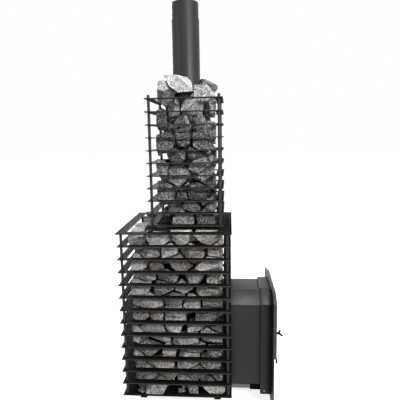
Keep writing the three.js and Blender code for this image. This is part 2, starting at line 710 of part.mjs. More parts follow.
// The keeper stands on the portal plate inside the door's rim, with a lip over the end of the turned cam.
function latchKeeper() {
  const lipX = [camX[1] + CAM_PLAY, skinBack - CAM_PLAY];
  const camTip = latchY - CAM_LENGTH;
  const camSweep = Math.hypot(CAM_LENGTH, CAM_WIDTH / 2);
  const postFace = latchY - camSweep - CAM_PLAY;
  const postY = [postFace - KEEPER_WIDTH, postFace];
  const z = [LATCH_HEIGHT - KEEPER_HEIGHT / 2, LATCH_HEIGHT + KEEPER_HEIGHT / 2];
  const post = block([portalFront + SEAM, lipX[1]], postY, z);
  const lip = block(lipX, [postY[0], camTip + KEEPER_BITE], z);
  return joined([post, lip]);
}

addPiece('latch_keeper', latchKeeper(), paintedSteel(BLACK_STEEL));

// Stones. Each is the space nearest to its own seed point, cut off flat against its neighbours. Neighbours
// press together on their hidden side and stand apart on the outer side.
function randomStream(seed) {
  let state = seed;
  return () => {
    state = (state * 48271) % 2147483647;
    return state / 2147483647;
  };
}

function planeThrough(point, normal) {
  return new THREE.Plane().setFromNormalAndCoplanarPoint(normal.clone().normalize(), point);
}

function boxPlanes(box) {
  const planes = [];
  for (const axis of ['x', 'y', 'z']) {
    const normal = new THREE.Vector3();
    normal[axis] = 1;
    planes.push(planeThrough(box.max, normal), planeThrough(box.min, normal.clone().negate()));
  }
  return planes;
}

function meetingPoint(a, b, c) {
  const bc = b.normal.clone().cross(c.normal);
  const spread = a.normal.dot(bc);
  if (Math.abs(spread) < 1e-4) return null;
  const point = bc.multiplyScalar(-a.constant);
  point.addScaledVector(c.normal.clone().cross(a.normal), -b.constant);
  point.addScaledVector(a.normal.clone().cross(b.normal), -c.constant);
  return point.divideScalar(spread);
}

function stoneGeometry(planes) {
  const corners = [];
  for (let i = 0; i < planes.length; i += 1) {
    for (let j = 0; j < i; j += 1) {
      for (let k = 0; k < j; k += 1) {
        const corner = meetingPoint(planes[i], planes[j], planes[k]);
        const inside = corner && planes.every((plane) => plane.distanceToPoint(corner) < 1e-3);
        if (inside && corners.every((other) => other.distanceTo(corner) > STONE_LEAST_EDGE)) corners.push(corner);
      }
    }
  }
  return new ConvexGeometry(corners);
}

// Seed points on a shaken grid that fills a box. Every other row is staggered, and the rows may sit lower.
function stoneSeeds(box, random, settle, sink) {
  const size = box.getSize(new THREE.Vector3());
  const columns = Math.max(1, Math.round(size.x / STONE_WIDTH));
  const ranks = Math.max(1, Math.round(size.y / STONE_WIDTH));
  const rows = Math.max(1, Math.round(size.z / STONE_HEIGHT));
  const shake = (count, spread) => (count > 1 ? spread * (2 * random() - 1) : 0);
  const drop = rows > 1 ? sink : 0;
  const seeds = [];
  for (let row = 0; row < rows; row += 1) {
    const stagger = row % 2 ? STONE_STAGGER : -STONE_STAGGER;
    const middle = (count) => (count > 1 ? 0.5 + stagger + shake(count, STONE_SPREAD) : 0.5);
    for (let column = 0; column < columns; column += 1) {
      for (let rank = 0; rank < ranks; rank += 1) {
        const share = new THREE.Vector3(
          (column + middle(columns)) / columns,
          (rank + middle(ranks)) / ranks,
          (row + 0.5 - drop + shake(rows, settle)) / rows,
        );
        seeds.push(share.multiply(size).add(box.min));
      }
    }
  }
  return seeds;
}

// The plane that parts a stone from its neighbour: past the middle by the bite on the hidden side, and short
// of it by half the groove on the outer side. The flatter the stones are laid, the more level it is.
function partingPlane(seed, other, outward, depth, bite, flatness) {
  const middle = seed.clone().add(other).multiplyScalar(0.5);
  const normal = other.clone().sub(seed);
  normal.z *= flatness;
  normal.normalize();
  const sideways = outward.clone().projectOnPlane(normal);
  const taper = (STONE_GROOVE / 2 + bite / 2) / (2 * depth);
  const shift = bite / 2 - taper * depth * sideways.length();
  normal.addScaledVector(sideways, taper);
  return planeThrough(middle.addScaledVector(normal, shift / normal.lengthSq()), normal);
}

// A slanted outer face, set in from the side of the box by up to the inset.
function outerFace(point, outward, random) {
  const normal = outward.clone();
  normal.x += STONE_TILT * (2 * random() - 1);
  normal.y += STONE_TILT * (2 * random() - 1);
  normal.z += STONE_TILT * (2 * random() - 1);
  return planeThrough(point.clone().addScaledVector(outward, -STONE_INSET * random()), normal);
}

function neighbours(seed, seeds) {
  return seeds.filter((other) => other !== seed && other.distanceTo(seed) < STONE_REACH);
}

function stoneMaterial() {
  return new THREE.MeshStandardMaterial({ color: STONE_GREY, roughness: 0.95, metalness: 0 });
}

const lowerStoneHalf = Math.min(lowerHalf - STRIP_WIDTH, flangeInner) - STONE_CLEARANCE;
const lowerStoneTop = flangeTop - STONE_CLEARANCE;
const wallX = FIREBOX_LENGTH / 2 + STONE_CLEARANCE;
const wallY = FIREBOX_WIDTH / 2 + STONE_CLEARANCE;

// The stones' pressed hidden side, as deep as the bed.
function stoneBed(box, outward) {
  const bed = box.clone();
  for (const axis of ['x', 'y', 'z']) {
    if (outward[axis] > 0) bed.max[axis] = bed.min[axis] + STONE_BED;
    if (outward[axis] < 0) bed.min[axis] = bed.max[axis] - STONE_BED;
  }
  return block([bed.min.x, bed.max.x], [bed.min.y, bed.max.y], [bed.min.z, bed.max.z]);
}

// One layer of stones between the firebox and the lower cage.
function stoneWall(box, outward, random) {
  const seeds = stoneSeeds(box, random, STONE_SETTLE, STONE_SINK);
  const depth = Math.abs(box.getSize(new THREE.Vector3()).dot(outward)) / 2;
  const stones = seeds.map((seed) => {
    const planes = boxPlanes(box);
    planes.push(outerFace(seed.clone().addScaledVector(outward, depth), outward, random));
    for (const other of neighbours(seed, seeds)) {
      planes.push(partingPlane(seed, other, outward, depth, STONE_BITE, STONE_FLATNESS));
    }
    return stoneGeometry(planes);
  });
  return [stoneBed(box, outward), ...stones];
}

const wallZ = [baseTop + STONE_CLEARANCE, lowerStoneTop];
const sideGap = STONE_CLEARANCE / 2;

function boxOf(x, y, z) {
  return new THREE.Box3(new THREE.Vector3(x[0], y[0], z[0]), new THREE.Vector3(x[1], y[1], z[1]));
}

const frontBox = boxOf([-lowerStoneHalf, lowerStoneHalf], [-lowerStoneHalf, -wallY], wallZ);
const backBox = boxOf([-lowerStoneHalf, lowerStoneHalf], [wallY, lowerStoneHalf], wallZ);
const leftBox = boxOf([-lowerStoneHalf, -wallX], [-wallY + sideGap, wallY - sideGap], wallZ);
addPiece('lower_stones_front', joined(stoneWall(frontBox, new THREE.Vector3(0, -1, 0), randomStream(FRONT_PATTERN))),
  stoneMaterial());
addPiece('lower_stones_back', joined(stoneWall(backBox, new THREE.Vector3(0, 1, 0), randomStream(BACK_PATTERN))),
  stoneMaterial());
addPiece('lower_stones_left', joined(stoneWall(leftBox, new THREE.Vector3(-1, 0, 0), randomStream(LEFT_PATTERN))),
  stoneMaterial());

// Stones over the tunnel and over the firebox, round the foot of the flue.
const flueClear = FLUE_DIAMETER / 2 + STONE_CLEARANCE;

function flueFace(seed) {
  const outward = new THREE.Vector3(UPPER_SHIFT - seed.x, -seed.y, 0).normalize();
  const touch = new THREE.Vector3(UPPER_SHIFT, 0, seed.z).addScaledVector(outward, -flueClear);
  return planeThrough(touch, outward);
}

function besideFlue(seed) {
  return Math.hypot(seed.x - UPPER_SHIFT, seed.y) > flueClear;
}

// The hidden depth of the pile over the firebox is one core, and its top layer and its side are single stones.
function topStones() {
  const random = randomStream(ROOF_PATTERN);
  const roofX = [-wallX + sideGap, wallX + STONE_BITE];
  const roofY = [-wallY + sideGap, wallY - sideGap];
  const layerBottom = lowerStoneTop - STONE_HEIGHT;
  const layerBox = boxOf(roofX, roofY, [layerBottom, lowerStoneTop]);
  const sideBox = boxOf([wallX, lowerStoneHalf], roofY, [tunnelTop + STONE_CLEARANCE, lowerStoneTop]);
  const core = block(roofX, roofY, [fireboxTop + STONE_CLEARANCE, layerBottom + STONE_BITE]);
  const flueRoom = uprightBar(holeDiameter(FLUE_DIAMETER, STONE_CLEARANCE, FLUE_SIDES), FLUE_SIDES, UPPER_SHIFT, 0,
    [fireboxTop, lowerStoneTop]);
  const layerSeeds = stoneSeeds(layerBox, random, STONE_SPREAD, 0).filter(besideFlue);
  const up = new THREE.Vector3(0, 0, 1);
  const stones = layerSeeds.map((seed) => {
    const planes = [...boxPlanes(layerBox), flueFace(seed)];
    planes.push(outerFace(seed.clone().addScaledVector(up, STONE_HEIGHT / 2), up, random));
    for (const other of neighbours(seed, layerSeeds)) {
      planes.push(partingPlane(seed, other, up, STONE_HEIGHT / 2, STONE_BITE, 1));
    }
    return stoneGeometry(planes);
  });
  return joined([cut(core, [flueRoom]), ...stones, ...stoneWall(sideBox, new THREE.Vector3(1, 0, 0), random)]);
}

addPiece('lower_stones_top', topStones(), stoneMaterial());

// Stones of the upper cage, in a ring round the flue, with a heap over the top ring.
const upperStoneHalf = upperHalf - STRIP_WIDTH - STONE_CLEARANCE;

// The heap's stones lean on the flue, each at its own angle round it.
function heapSeeds(height) {
  return HEAP_ANGLES.map((turn, rank) => {
    const angle = THREE.MathUtils.degToRad(turn);
    const x = UPPER_SHIFT + HEAP_RADIUS * Math.cos(angle);
    return new THREE.Vector3(x, HEAP_RADIUS * Math.sin(angle), height + HEAP_LIFTS[rank]);
  });
}

function upperStones() {
  const random = randomStream(UPPER_PATTERN);
  const bottom = bearerTop + STONE_CLEARANCE;
  const packed = boxOf([UPPER_SHIFT - upperStoneHalf, UPPER_SHIFT + upperStoneHalf],
    [-upperStoneHalf, upperStoneHalf], [bottom, upperTopRing]);
  const whole = packed.clone();
  whole.max.z += HEAP_HEIGHT;
  const heaped = heapSeeds(upperTopRing + HEAP_HEIGHT / 2);
  const seeds = [...stoneSeeds(packed, random, STONE_SPREAD, 0).filter(besideFlue), ...heaped];
  const sides = [new THREE.Vector3(1, 0, 0), new THREE.Vector3(-1, 0, 0), new THREE.Vector3(0, 1, 0),
    new THREE.Vector3(0, -1, 0)];
  const sideReach = upperStoneHalf / 3;
  const isBack = (seed) => seed.y > sideReach;
  const groups = { upper_stones_front: [], upper_stones_back: [] };
  for (const seed of seeds) {
    const planes = [...boxPlanes(whole), flueFace(seed)];
    const offset = new THREE.Vector3(seed.x - UPPER_SHIFT, seed.y, 0);
    for (const side of sides.filter((direction) => offset.dot(direction) > sideReach)) {
      const onSide = new THREE.Vector3(UPPER_SHIFT, 0, seed.z).addScaledVector(side, upperStoneHalf);
      planes.push(outerFace(onSide, side, random));
    }
    for (const other of neighbours(seed, seeds)) {
      const middle = seed.clone().add(other).multiplyScalar(0.5);
      const outward = new THREE.Vector3(middle.x - UPPER_SHIFT, middle.y, 0);
      const depth = (upperStoneHalf - flueClear) / 2;
      const bite = isBack(seed) === isBack(other) ? STONE_BITE : -STONE_CLEARANCE;
      planes.push(partingPlane(seed, other, outward.normalize(), depth, bite, 1));
    }
    const rank = heaped.indexOf(seed);
    if (rank >= 0) {
      const away = new THREE.Vector3(seed.x - UPPER_SHIFT, seed.y, 0).normalize();
      const crest = new THREE.Vector3(UPPER_SHIFT, 0, upperTopRing + HEAP_HEIGHT * HEAP_CRESTS[rank]);
      crest.addScaledVector(away, flueClear);
      const lean = away.clone().multiplyScalar(HEAP_LEANS[rank]).add(new THREE.Vector3(0, 0, 1));
      planes.push(outerFace(crest, lean, random));
    }
    groups[isBack(seed) ? 'upper_stones_back' : 'upper_stones_front'].push(stoneGeometry(planes));
  }
  return groups;
}

for (const [name, stones] of Object.entries(upperStones())) addPiece(name, joined(stones), stoneMaterial());

// The footprint is centred on the origin.
const bounds = new THREE.Box3().setFromObject(stove);
stove.position.x = -(bounds.min.x + bounds.max.x) / 2;

export default stove;
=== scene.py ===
import itertools
import math

import bmesh
import bpy
import numpy as np
from mathutils import Matrix, Vector, noise


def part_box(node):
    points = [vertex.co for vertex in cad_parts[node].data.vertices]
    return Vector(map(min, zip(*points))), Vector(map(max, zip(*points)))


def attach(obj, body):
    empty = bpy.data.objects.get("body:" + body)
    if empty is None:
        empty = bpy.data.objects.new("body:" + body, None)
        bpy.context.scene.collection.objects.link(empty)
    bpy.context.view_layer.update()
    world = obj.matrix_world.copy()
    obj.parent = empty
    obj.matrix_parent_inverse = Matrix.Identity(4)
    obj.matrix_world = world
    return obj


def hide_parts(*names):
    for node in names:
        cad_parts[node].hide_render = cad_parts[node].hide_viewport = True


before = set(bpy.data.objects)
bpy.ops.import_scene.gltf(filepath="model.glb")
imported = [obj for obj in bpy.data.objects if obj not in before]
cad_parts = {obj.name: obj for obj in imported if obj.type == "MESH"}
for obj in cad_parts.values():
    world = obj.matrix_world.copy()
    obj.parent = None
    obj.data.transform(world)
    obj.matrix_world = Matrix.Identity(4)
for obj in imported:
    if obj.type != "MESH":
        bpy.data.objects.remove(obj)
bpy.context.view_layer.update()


# Leg frame and base plate: the frame is welded from bar, and the plate lies on its two rails.
# Both are mild steel in matt black stove paint, grainy close up, greyer on top from dust and painted top
# light.
# The edges are broken and rubbed, and the rails are bare galvanised steel where they run under the tunnel.
PAINT_BLACK = (0.0034, 0.0034, 0.0036, 1)
PAINT_DUST_AND_TOP_LIGHT = (0.021, 0.0196, 0.0178, 1)
# The lighter edge paint is partly rubbed wear and partly a painted highlight where light catches edges and
# rods.
WORN_AND_HIGHLIGHT_PAINT = (0.024, 0.0236, 0.0228, 1)
SHARP_ANGLE = math.radians(33)
BAR_EDGE = 0.0012
PLATE_EDGE = 0.0007
SPACER_LENGTH = 0.045
RAIL_COVERED = 0.030
RAIL_MARGIN = 0.0005
RAIL_BRIGHT = (0.18, 0.18, 0.18, 1)
RAIL_DULL = (0.08, 0.08, 0.08, 1)
BEAD_RIPPLE = 0.16
BEAD_LOBES = 5
BEAD_PHASE = 40
WELD_DISTANCE = 2e-5
FLAT_ANGLE = math.radians(1)


def put(tree, socket, value):
    if isinstance(value, bpy.types.NodeSocket):
        tree.links.new(value, socket)
    else:
        socket.default_value = value


def add_node(tree, kind, inputs=None, **settings):
    made = tree.nodes.new(kind)
    for name, value in settings.items():
        setattr(made, name, value)
    for name, value in (inputs or {}).items():
        put(tree, made.inputs[name], value)
    return made


def maths(tree, operation, first, second):
    made = add_node(tree, "ShaderNodeMath", operation=operation)
    put(tree, made.inputs[0], first)
    put(tree, made.inputs[1], second)
    return made.outputs[0]


def mixed(tree, share, first, second):
    made = add_node(tree, "ShaderNodeMix", data_type="RGBA")
    put(tree, made.inputs[0], share)
    put(tree, made.inputs[6], first)
    put(tree, made.inputs[7], second)
    return made.outputs[2]


def graded(tree, value, low, high, to_low=0.0, to_high=1.0):
    limits = {"Value": value, "From Min": low, "From Max": high, "To Min": to_low, "To Max": to_high}
    return add_node(tree, "ShaderNodeMapRange", limits).outputs[0]


def clouds(tree, coordinates, scale, detail=3.0, roughness=0.55):
    settings = {"Vector": coordinates, "Scale": scale, "Detail": detail, "Roughness": roughness}
    return add_node(tree, "ShaderNodeTexNoise", settings).outputs[0]


def new_group(name, inputs, outputs):
    group = bpy.data.node_groups.new(name, "ShaderNodeTree")
    for label, kind in inputs:
        group.interface.new_socket(label, in_out="INPUT", socket_type=kind)
    for label, kind in outputs:
        group.interface.new_socket(label, in_out="OUTPUT", socket_type=kind)
    return group, group.nodes.new("NodeGroupInput"), group.nodes.new("NodeGroupOutput")


def paint_group():
    group, given, made = new_group(
        "stove_paint",
        [("Paint", "NodeSocketColor"), ("Dust_and_light", "NodeSocketColor"), ("Amount", "NodeSocketFloat"),
         ("Sheen", "NodeSocketFloat")],
        [("Color", "NodeSocketColor"), ("Roughness", "NodeSocketFloat"), ("Normal", "NodeSocketVector")])
    place = add_node(group, "ShaderNodeTexCoord").outputs["Object"]
    facing = add_node(group, "ShaderNodeNewGeometry").outputs["Normal"]
    upward = add_node(group, "ShaderNodeSeparateXYZ", {0: facing})
    patches = graded(group, clouds(group, place, 11.0, 5.0, 0.62), 0.34, 0.70)
    mottle = graded(group, clouds(group, place, 170.0, 3.0), 0.35, 0.68)
    # Faces that point up take more of the dust colour: partly settled dust, partly painted top light.
    upward_dust_and_light = graded(group, upward.outputs["Z"], 0.2, 1.0, 0.25, 1.0)
    share = maths(group, "MULTIPLY", maths(group, "MULTIPLY", patches, upward_dust_and_light), given.outputs["Amount"])
    speckled = maths(group, "MULTIPLY", mottle, 0.10)
    share = maths(group, "MINIMUM", maths(group, "ADD", share, speckled), 1.0)
    put(group, made.inputs["Color"], mixed(group, share, given.outputs["Paint"], given.outputs["Dust_and_light"]))
    uneven = maths(group, "SUBTRACT", graded(group, patches, 0.0, 1.0, 0.52, 0.62), given.outputs["Sheen"])
    put(group, made.inputs["Roughness"], maths(group, "ADD", uneven, maths(group, "MULTIPLY", mottle, 0.08)))
    grain = maths(group, "ADD", clouds(group, place, 900.0, 2.0), maths(group, "MULTIPLY", mottle, 0.6))
    bump = add_node(group, "ShaderNodeBump", {"Strength": 0.16, "Distance": 0.0004, "Height": grain})
    put(group, made.inputs["Normal"], bump.outputs["Normal"])
    return group


STOVE_PAINT = paint_group()


def new_material(name):
    material = bpy.data.materials.new(name)
    material.use_nodes = True
    tree = material.node_tree
    return material, tree, tree.nodes["Principled BSDF"]


def painted_steel(name, paint, dust_and_top_light, amount, sheen, specular):
    material, tree, surface = new_material(name)
    coat = add_node(tree, "ShaderNodeGroup", node_tree=STOVE_PAINT)
    for label, value in (("Paint", paint), ("Dust_and_light", dust_and_top_light), ("Amount", amount), ("Sheen", sheen)):
        put(tree, coat.inputs[label], value)
    put(tree, surface.inputs["Base Color"], coat.outputs["Color"])
    put(tree, surface.inputs["Roughness"], coat.outputs["Roughness"])
    put(tree, surface.inputs["Normal"], coat.outputs["Normal"])
    surface.inputs["Specular IOR Level"].default_value = specular
    return material


BLACK_PAINT = painted_steel(
    "black_stove_paint", PAINT_BLACK, PAINT_DUST_AND_TOP_LIGHT, amount=0.45, sheen=0.08, specular=0.012)
EDGE_PAINT = painted_steel(
    "worn_and_highlighted_edge_paint", WORN_AND_HIGHLIGHT_PAINT, PAINT_DUST_AND_TOP_LIGHT, amount=0.30, sheen=0.15, specular=0.22)
DULL_PAINT = painted_steel(
    "dull_dusty_paint", PAINT_BLACK, PAINT_DUST_AND_TOP_LIGHT, amount=0.60, sheen=0.08, specular=0.005)


def shaded(mesh, crease=SHARP_ANGLE):
    mesh.polygons.foreach_set("use_smooth", [True] * len(mesh.polygons))
    mesh.set_sharp_from_angle(angle=crease)
    return mesh


def install(name, mesh, body, materials, nodes):
    for material in materials:
        mesh.materials.append(material)
    piece = bpy.data.objects.new(name, mesh)
    bpy.context.scene.collection.objects.link(piece)
    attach(piece, body)
    if nodes:
        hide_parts(*nodes)
    return piece


def finished(work, name, body, materials, nodes):
    mesh = bpy.data.meshes.new(name)
    work.to_mesh(mesh)
    work.free()
    return install(name, shaded(mesh), body, materials, nodes)


def eased_mesh(node, edge):
    work = bmesh.new()
    work.from_mesh(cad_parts[node].data)
    bmesh.ops.remove_doubles(work, verts=work.verts, dist=WELD_DISTANCE)
    bmesh.ops.dissolve_limit(work, angle_limit=FLAT_ANGLE, verts=work.verts, edges=work.edges)
    for face in work.faces:
        face.material_index = 0
    # Bevel faces take the second material; where that is a lighter edge paint, it is partly wear and partly
    # painted highlight.
    sharp = [side for side in work.edges if side.is_manifold and side.calc_face_angle(0) > SHARP_ANGLE]
    bmesh.ops.bevel(work, geom=sharp, offset=edge, segments=2, profile=0.5, affect="EDGES", material=1,
                    clamp_overlap=True)
    return work


def eased_piece(node, edge, body, materials, extra=None):
    work = eased_mesh(node, edge)
    if extra:
        extra(work)
    return finished(work, node + "_eased", body, materials, [node])


def bead(work, centre, axis, radius, thickness, steps=14, sides=6):
    turn = axis.to_track_quat("Z", "Y").to_matrix()
    rings = []
    for step in range(steps):
        angle = 2 * math.pi * step / steps
        swell = thickness * (1 + BEAD_RIPPLE * math.sin(BEAD_LOBES * angle + BEAD_PHASE * centre.z))
        ring = []
        for side in range(sides):
            around = 2 * math.pi * side / sides
            reach = radius + swell * math.cos(around)
            local = Vector((reach * math.cos(angle), reach * math.sin(angle), swell * math.sin(around)))
            ring.append(work.verts.new(centre + turn @ local))
        rings.append(ring)
    for step, ring in enumerate(rings):
        following = rings[(step + 1) % steps]
        for side in range(sides):
            after = (side + 1) % sides
            work.faces.new((ring[side], following[side], following[after], ring[after]))


def zinc_material(name, bright, dull, metallic):
    material, tree, surface = new_material(name)
    place = add_node(tree, "ShaderNodeTexCoord").outputs["Object"]
    bloom = graded(tree, clouds(tree, place, 240.0, 4.0), 0.35, 0.65)
    put(tree, surface.inputs["Base Color"], mixed(tree, bloom, bright, dull))
    put(tree, surface.inputs["Roughness"], graded(tree, bloom, 0.0, 1.0, 0.32, 0.52))
    surface.inputs["Metallic"].default_value = metallic
    return material


GALVANISED = zinc_material("galvanised_rail", RAIL_BRIGHT, RAIL_DULL, metallic=0.25)


def bare_rails(work):
    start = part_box("base_plate")[1].x - RAIL_COVERED
    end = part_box("leg_frame")[1].x - SPACER_LENGTH - RAIL_MARGIN
    for cut in (start, end):
        everything = work.verts[:] + work.edges[:] + work.faces[:]
        bmesh.ops.bisect_plane(work, geom=everything, plane_co=(cut, 0, 0), plane_no=(1, 0, 0))
    for face in work.faces:
        if start < face.calc_center_median().x < end:
            face.material_index = 2


eased_piece("leg_frame", BAR_EDGE, "stove", [BLACK_PAINT, EDGE_PAINT, GALVANISED], extra=bare_rails)
eased_piece("base_plate", PLATE_EDGE, "stove", [BLACK_PAINT, EDGE_PAINT])


# Lower cage: twelve frames of flat strip on four round rods, with a wider flange plate on top.
# The strips and rods are mild steel, welded to each other at every corner before the cage is painted.
# The seven lowest frames stop short of the fuel tunnel.
LOWER_RINGS = 12
RIM_SLOPE = 0.5
ROD_SIDES = 24
ROD_BREAK = 0.0005
TIP_TURNS = (0.35, 0.7, 1.05, 1.35)
LOWER_TIP = 0.0005
STRIP_WIDTH = 0.032
ROD_BEAD = 0.0016
BEAD_RADIUS = 0.0072


def turned(work, profile, sides, centre):
    rings = []
    for radius, height in profile:
        ring = []
        for side in range(sides if radius > 0 else 1):
            angle = 2 * math.pi * side / sides
            spoke = Vector((radius * math.cos(angle), radius * math.sin(angle), height))
            ring.append(work.verts.new(centre + spoke))
        rings.append(ring)
    for lower, upper in zip(rings, rings[1:]):
        for side in range(sides):
            after = (side + 1) % sides
            if len(lower) == 1:
                work.faces.new((lower[0], upper[after], upper[side]))
            elif len(upper) == 1:
                work.faces.new((lower[side], lower[after], upper[0]))
            else:
                work.faces.new((lower[side], lower[after], upper[after], upper[side]))


def rod_piece(node, tip):
    low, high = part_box(node)
    radius = (high.x - low.x) / 2
    length = high.z - low.z
    centre = Vector(((low.x + high.x) / 2, (low.y + high.y) / 2, low.z))
    work = bmesh.new()
    profile = [(0, 0), (radius - ROD_BREAK, 0), (radius, ROD_BREAK), (radius, length - tip)]
    profile += [(radius * math.cos(turn), length - tip + tip * math.sin(turn)) for turn in TIP_TURNS]
    turned(work, profile + [(0, length)], ROD_SIDES, centre)
    # The rods are wholly in the lighter edge paint, which on them is a painted highlight.
    return finished(work, node + "_round", "stove", [EDGE_PAINT], [node])


CORNERS = ("front_left", "front_right", "back_left", "back_right")


def welded_ring(node, rods):
    low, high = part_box(node)

    def welds(work):
        # The upright faces of each strip take the lighter edge paint, partly wear and partly a painted
        # highlight.
        for face in work.faces:
            if abs(face.normal.z) < RIM_SLOPE:
                face.material_index = 1
        for rod in rods:
            near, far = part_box(rod)
            for level, up in ((low.z, -1), (high.z, 1)):
                spot = Vector(((near.x + far.x) / 2, (near.y + far.y) / 2, level))
                bead(work, spot, Vector((0, 0, up)), BEAD_RADIUS, ROD_BEAD)
    eased_piece(node, PLATE_EDGE, "stove", [BLACK_PAINT, EDGE_PAINT], extra=welds)


for level in range(1, LOWER_RINGS + 1):
    welded_ring(f"lower_ring_{level:02d}", ["lower_rod_" + corner for corner in CORNERS])
eased_piece("lower_flange", PLATE_EDGE, "stove", [DULL_PAINT, EDGE_PAINT])
for corner in CORNERS:
    rod_piece("lower_rod_" + corner, LOWER_TIP)


# Firebox: a welded steel box with a chamfered roof, with a loose cast grate, a shelf and a baffle inside.
# It stands on the base plate, and the stones hide it. Soot has browned the shelf and the baffle.
# The grate is grey cast iron with a sand-cast skin.
SOOT_BROWN = (0.030, 0.026, 0.022, 1)
SOOT_ASH = (0.09, 0.083, 0.075, 1)
IRON_GREY = (0.028, 0.027, 0.027, 1)
IRON_ASH = (0.12, 0.115, 0.11, 1)
CAST_EDGE = 0.0015
SOOTED = painted_steel(
    "sooted_steel", SOOT_BROWN, SOOT_ASH, amount=0.7, sheen=0.0, specular=0.2)
CAST_IRON = painted_steel(
    "cast_iron", IRON_GREY, IRON_ASH, amount=0.8, sheen=0.1, specular=0.3)
eased_piece("firebox_shell", BAR_EDGE, "stove", [BLACK_PAINT, EDGE_PAINT])
eased_piece("grate", CAST_EDGE, "stove", [CAST_IRON, CAST_IRON])
eased_piece("tunnel_shelf", PLATE_EDGE, "stove", [SOOTED, SOOTED])
eased_piece("baffle", PLATE_EDGE, "stove", [SOOTED, SOOTED])


# Lower stones: split rock, packed by hand between the firebox and the cage and in layers over the roof.
# Each stone is broken from hard grey rock, with flat faces, chipped corners and a speckled grain.
# They lie loose and touch here and there, with dark gaps between them.
STONE_WIDTH = 0.092
STONE_HEIGHT = 0.056
STONE_CLEARANCE = 0.002
STONE_SPREAD = 0.32
STONE_SETTLE = 0.20
STONE_SINK = 0.20
STONE_STAGGER = 0.22
STONE_TILT = 0.60
STONE_INSET = 0.016
STONE_REACH = 0.180
STONE_GAP = 0.0095
STONE_LEAN = 0.18
STONE_FLATNESS = 2.0
STONE_BULK = 0.013
STONE_FACET = 0.009
STONE_CHIPS = 5
STONE_CREASE = math.radians(22)
STONE_PALE = (0.78, 0.775, 0.76, 1)
STONE_DARK = (0.022, 0.022, 0.023, 1)
STONE_BROWN = (0.255, 0.195, 0.140, 1)
STONE_FLECK = (0.035, 0.035, 0.037, 1)
STONE_SPLITS = 3
STONE_FLAT_ANGLE = math.radians(4)
STONE_MERGE = 0.0016
STONE_WEAR = 0.0013
STEP_SCALE = 42
STEP_SLOPE = 4
STEP_WEIGHT = 0.9
FINE_SCALES = ((95, 0.5), (210, 0.3))
WEAR_DRIFT = 9
STONE_NEIGHBOURS = 16
STONE_TONE = 0.20
STONE_TONE_RANGE = 0.50
BULK_SCALE = 63
LEAN_SCALE = 41
GAP_SCALE = 57
CHIP_OUTWARD = 0.8
CHIP_DEPTH = 0.16
CHIP_DEPTH_RANGE = 0.36
STREAM_FACTOR = 48271
STREAM_LIMIT = 2147483647
NOISE_SEED = 7

# The offsets of noise_vector come from the clock, unless a seed is set.
noise.seed_set(NOISE_SEED)


def rock_group():
    group, given, made = new_group(
        "split_rock",
        [("Tone", "NodeSocketFloat")],
        [("Color", "NodeSocketColor"), ("Roughness", "NodeSocketFloat"), ("Normal", "NodeSocketVector")])
    place = add_node(group, "ShaderNodeTexCoord").outputs["Object"]
    broad = clouds(group, place, 30.0, 5.0, 0.6)
    blotches = clouds(group, place, 80.0, 5.0, 0.75)
    grains = clouds(group, place, 190.0, 4.0, 0.8)
    crystals = add_node(group, "ShaderNodeTexVoronoi", {"Vector": place, "Scale": 260.0}).outputs["Distance"]
    light = maths(group, "ADD", graded(group, broad, 0.3, 0.7, -0.14, 0.14), given.outputs["Tone"])
    light = maths(group, "ADD", light, graded(group, blotches, 0.38, 0.62, -0.18, 0.18))
    light = maths(group, "ADD", light, graded(group, grains, 0.37, 0.63, -0.56, 0.56))
    fine = clouds(group, place, 620.0, 2.0, 0.7)
    light = maths(group, "ADD", light, graded(group, fine, 0.36, 0.64, -0.30, 0.30))
    grey = mixed(group, graded(group, light, 0.0, 1.0), STONE_DARK, STONE_PALE)
    height = add_node(group, "ShaderNodeSeparateXYZ", {0: place}).outputs["Z"]
    stain = graded(group, clouds(group, place, 9.0, 4.0, 0.6), 0.48, 0.72, 0.08, 0.55)
    stain = maths(group, "MULTIPLY", stain, graded(group, height, 1.0, 0.7))
    grey = mixed(group, stain, grey, STONE_BROWN)
    fleck = graded(group, crystals, 0.08, 0.24, 0.55, 0.0)
    put(group, made.inputs["Color"], mixed(group, fleck, grey, STONE_FLECK))
    put(group, made.inputs["Roughness"], graded(group, grains, 0.3, 0.7, 0.66, 0.92))
    rough = maths(group, "ADD", blotches, maths(group, "MULTIPLY", grains, 0.4))
    bump = add_node(group, "ShaderNodeBump", {"Strength": 0.9, "Distance": 0.004, "Height": rough})
    put(group, made.inputs["Normal"], bump.outputs["Normal"])
    return group


def rock_material():
    material, tree, surface = new_material("split_rock")
    tone = add_node(tree, "ShaderNodeAttribute", attribute_name="stone_tone")
    rock = add_node(tree, "ShaderNodeGroup", node_tree=rock_group())
    put(tree, rock.inputs["Tone"], tone.outputs["Fac"])
    for label, output in (("Base Color", "Color"), ("Roughness", "Roughness"), ("Normal", "Normal")):
        put(tree, surface.inputs[label], rock.outputs[output])
    surface.inputs["Specular IOR Level"].default_value = 0.1
    return material


ROCK = rock_material()


def number_stream(seed):
    state = seed
    while True:
        state = state * STREAM_FACTOR % STREAM_LIMIT
        yield state / STREAM_LIMIT


def stone_seeds(low, high, draw, settle, sink):
    size = high - low
    counts = [max(1, int(size[axis] / step + 0.5)) for axis, step in
              enumerate((STONE_WIDTH, STONE_WIDTH, STONE_HEIGHT))]
    seeds = []
    for row in range(counts[2]):
        stagger = STONE_STAGGER if row % 2 else -STONE_STAGGER
        for column in range(counts[0]):
            for rank in range(counts[1]):
                share = [(place + 0.5 + (drift + spread * (2 * next(draw) - 1) if count > 1 else 0)) / count
                         for place, count, drift, spread in zip(
                             (column, rank, row), counts, (stagger, stagger, -sink),
                             (STONE_SPREAD, STONE_SPREAD, settle))]
                seeds.append(Vector([low[axis] + share[axis] * size[axis] for axis in range(3)]))
    return seeds


def plane_at(point, normal):
    normal = normal.normalized()
    return (tuple(normal), normal.dot(point))


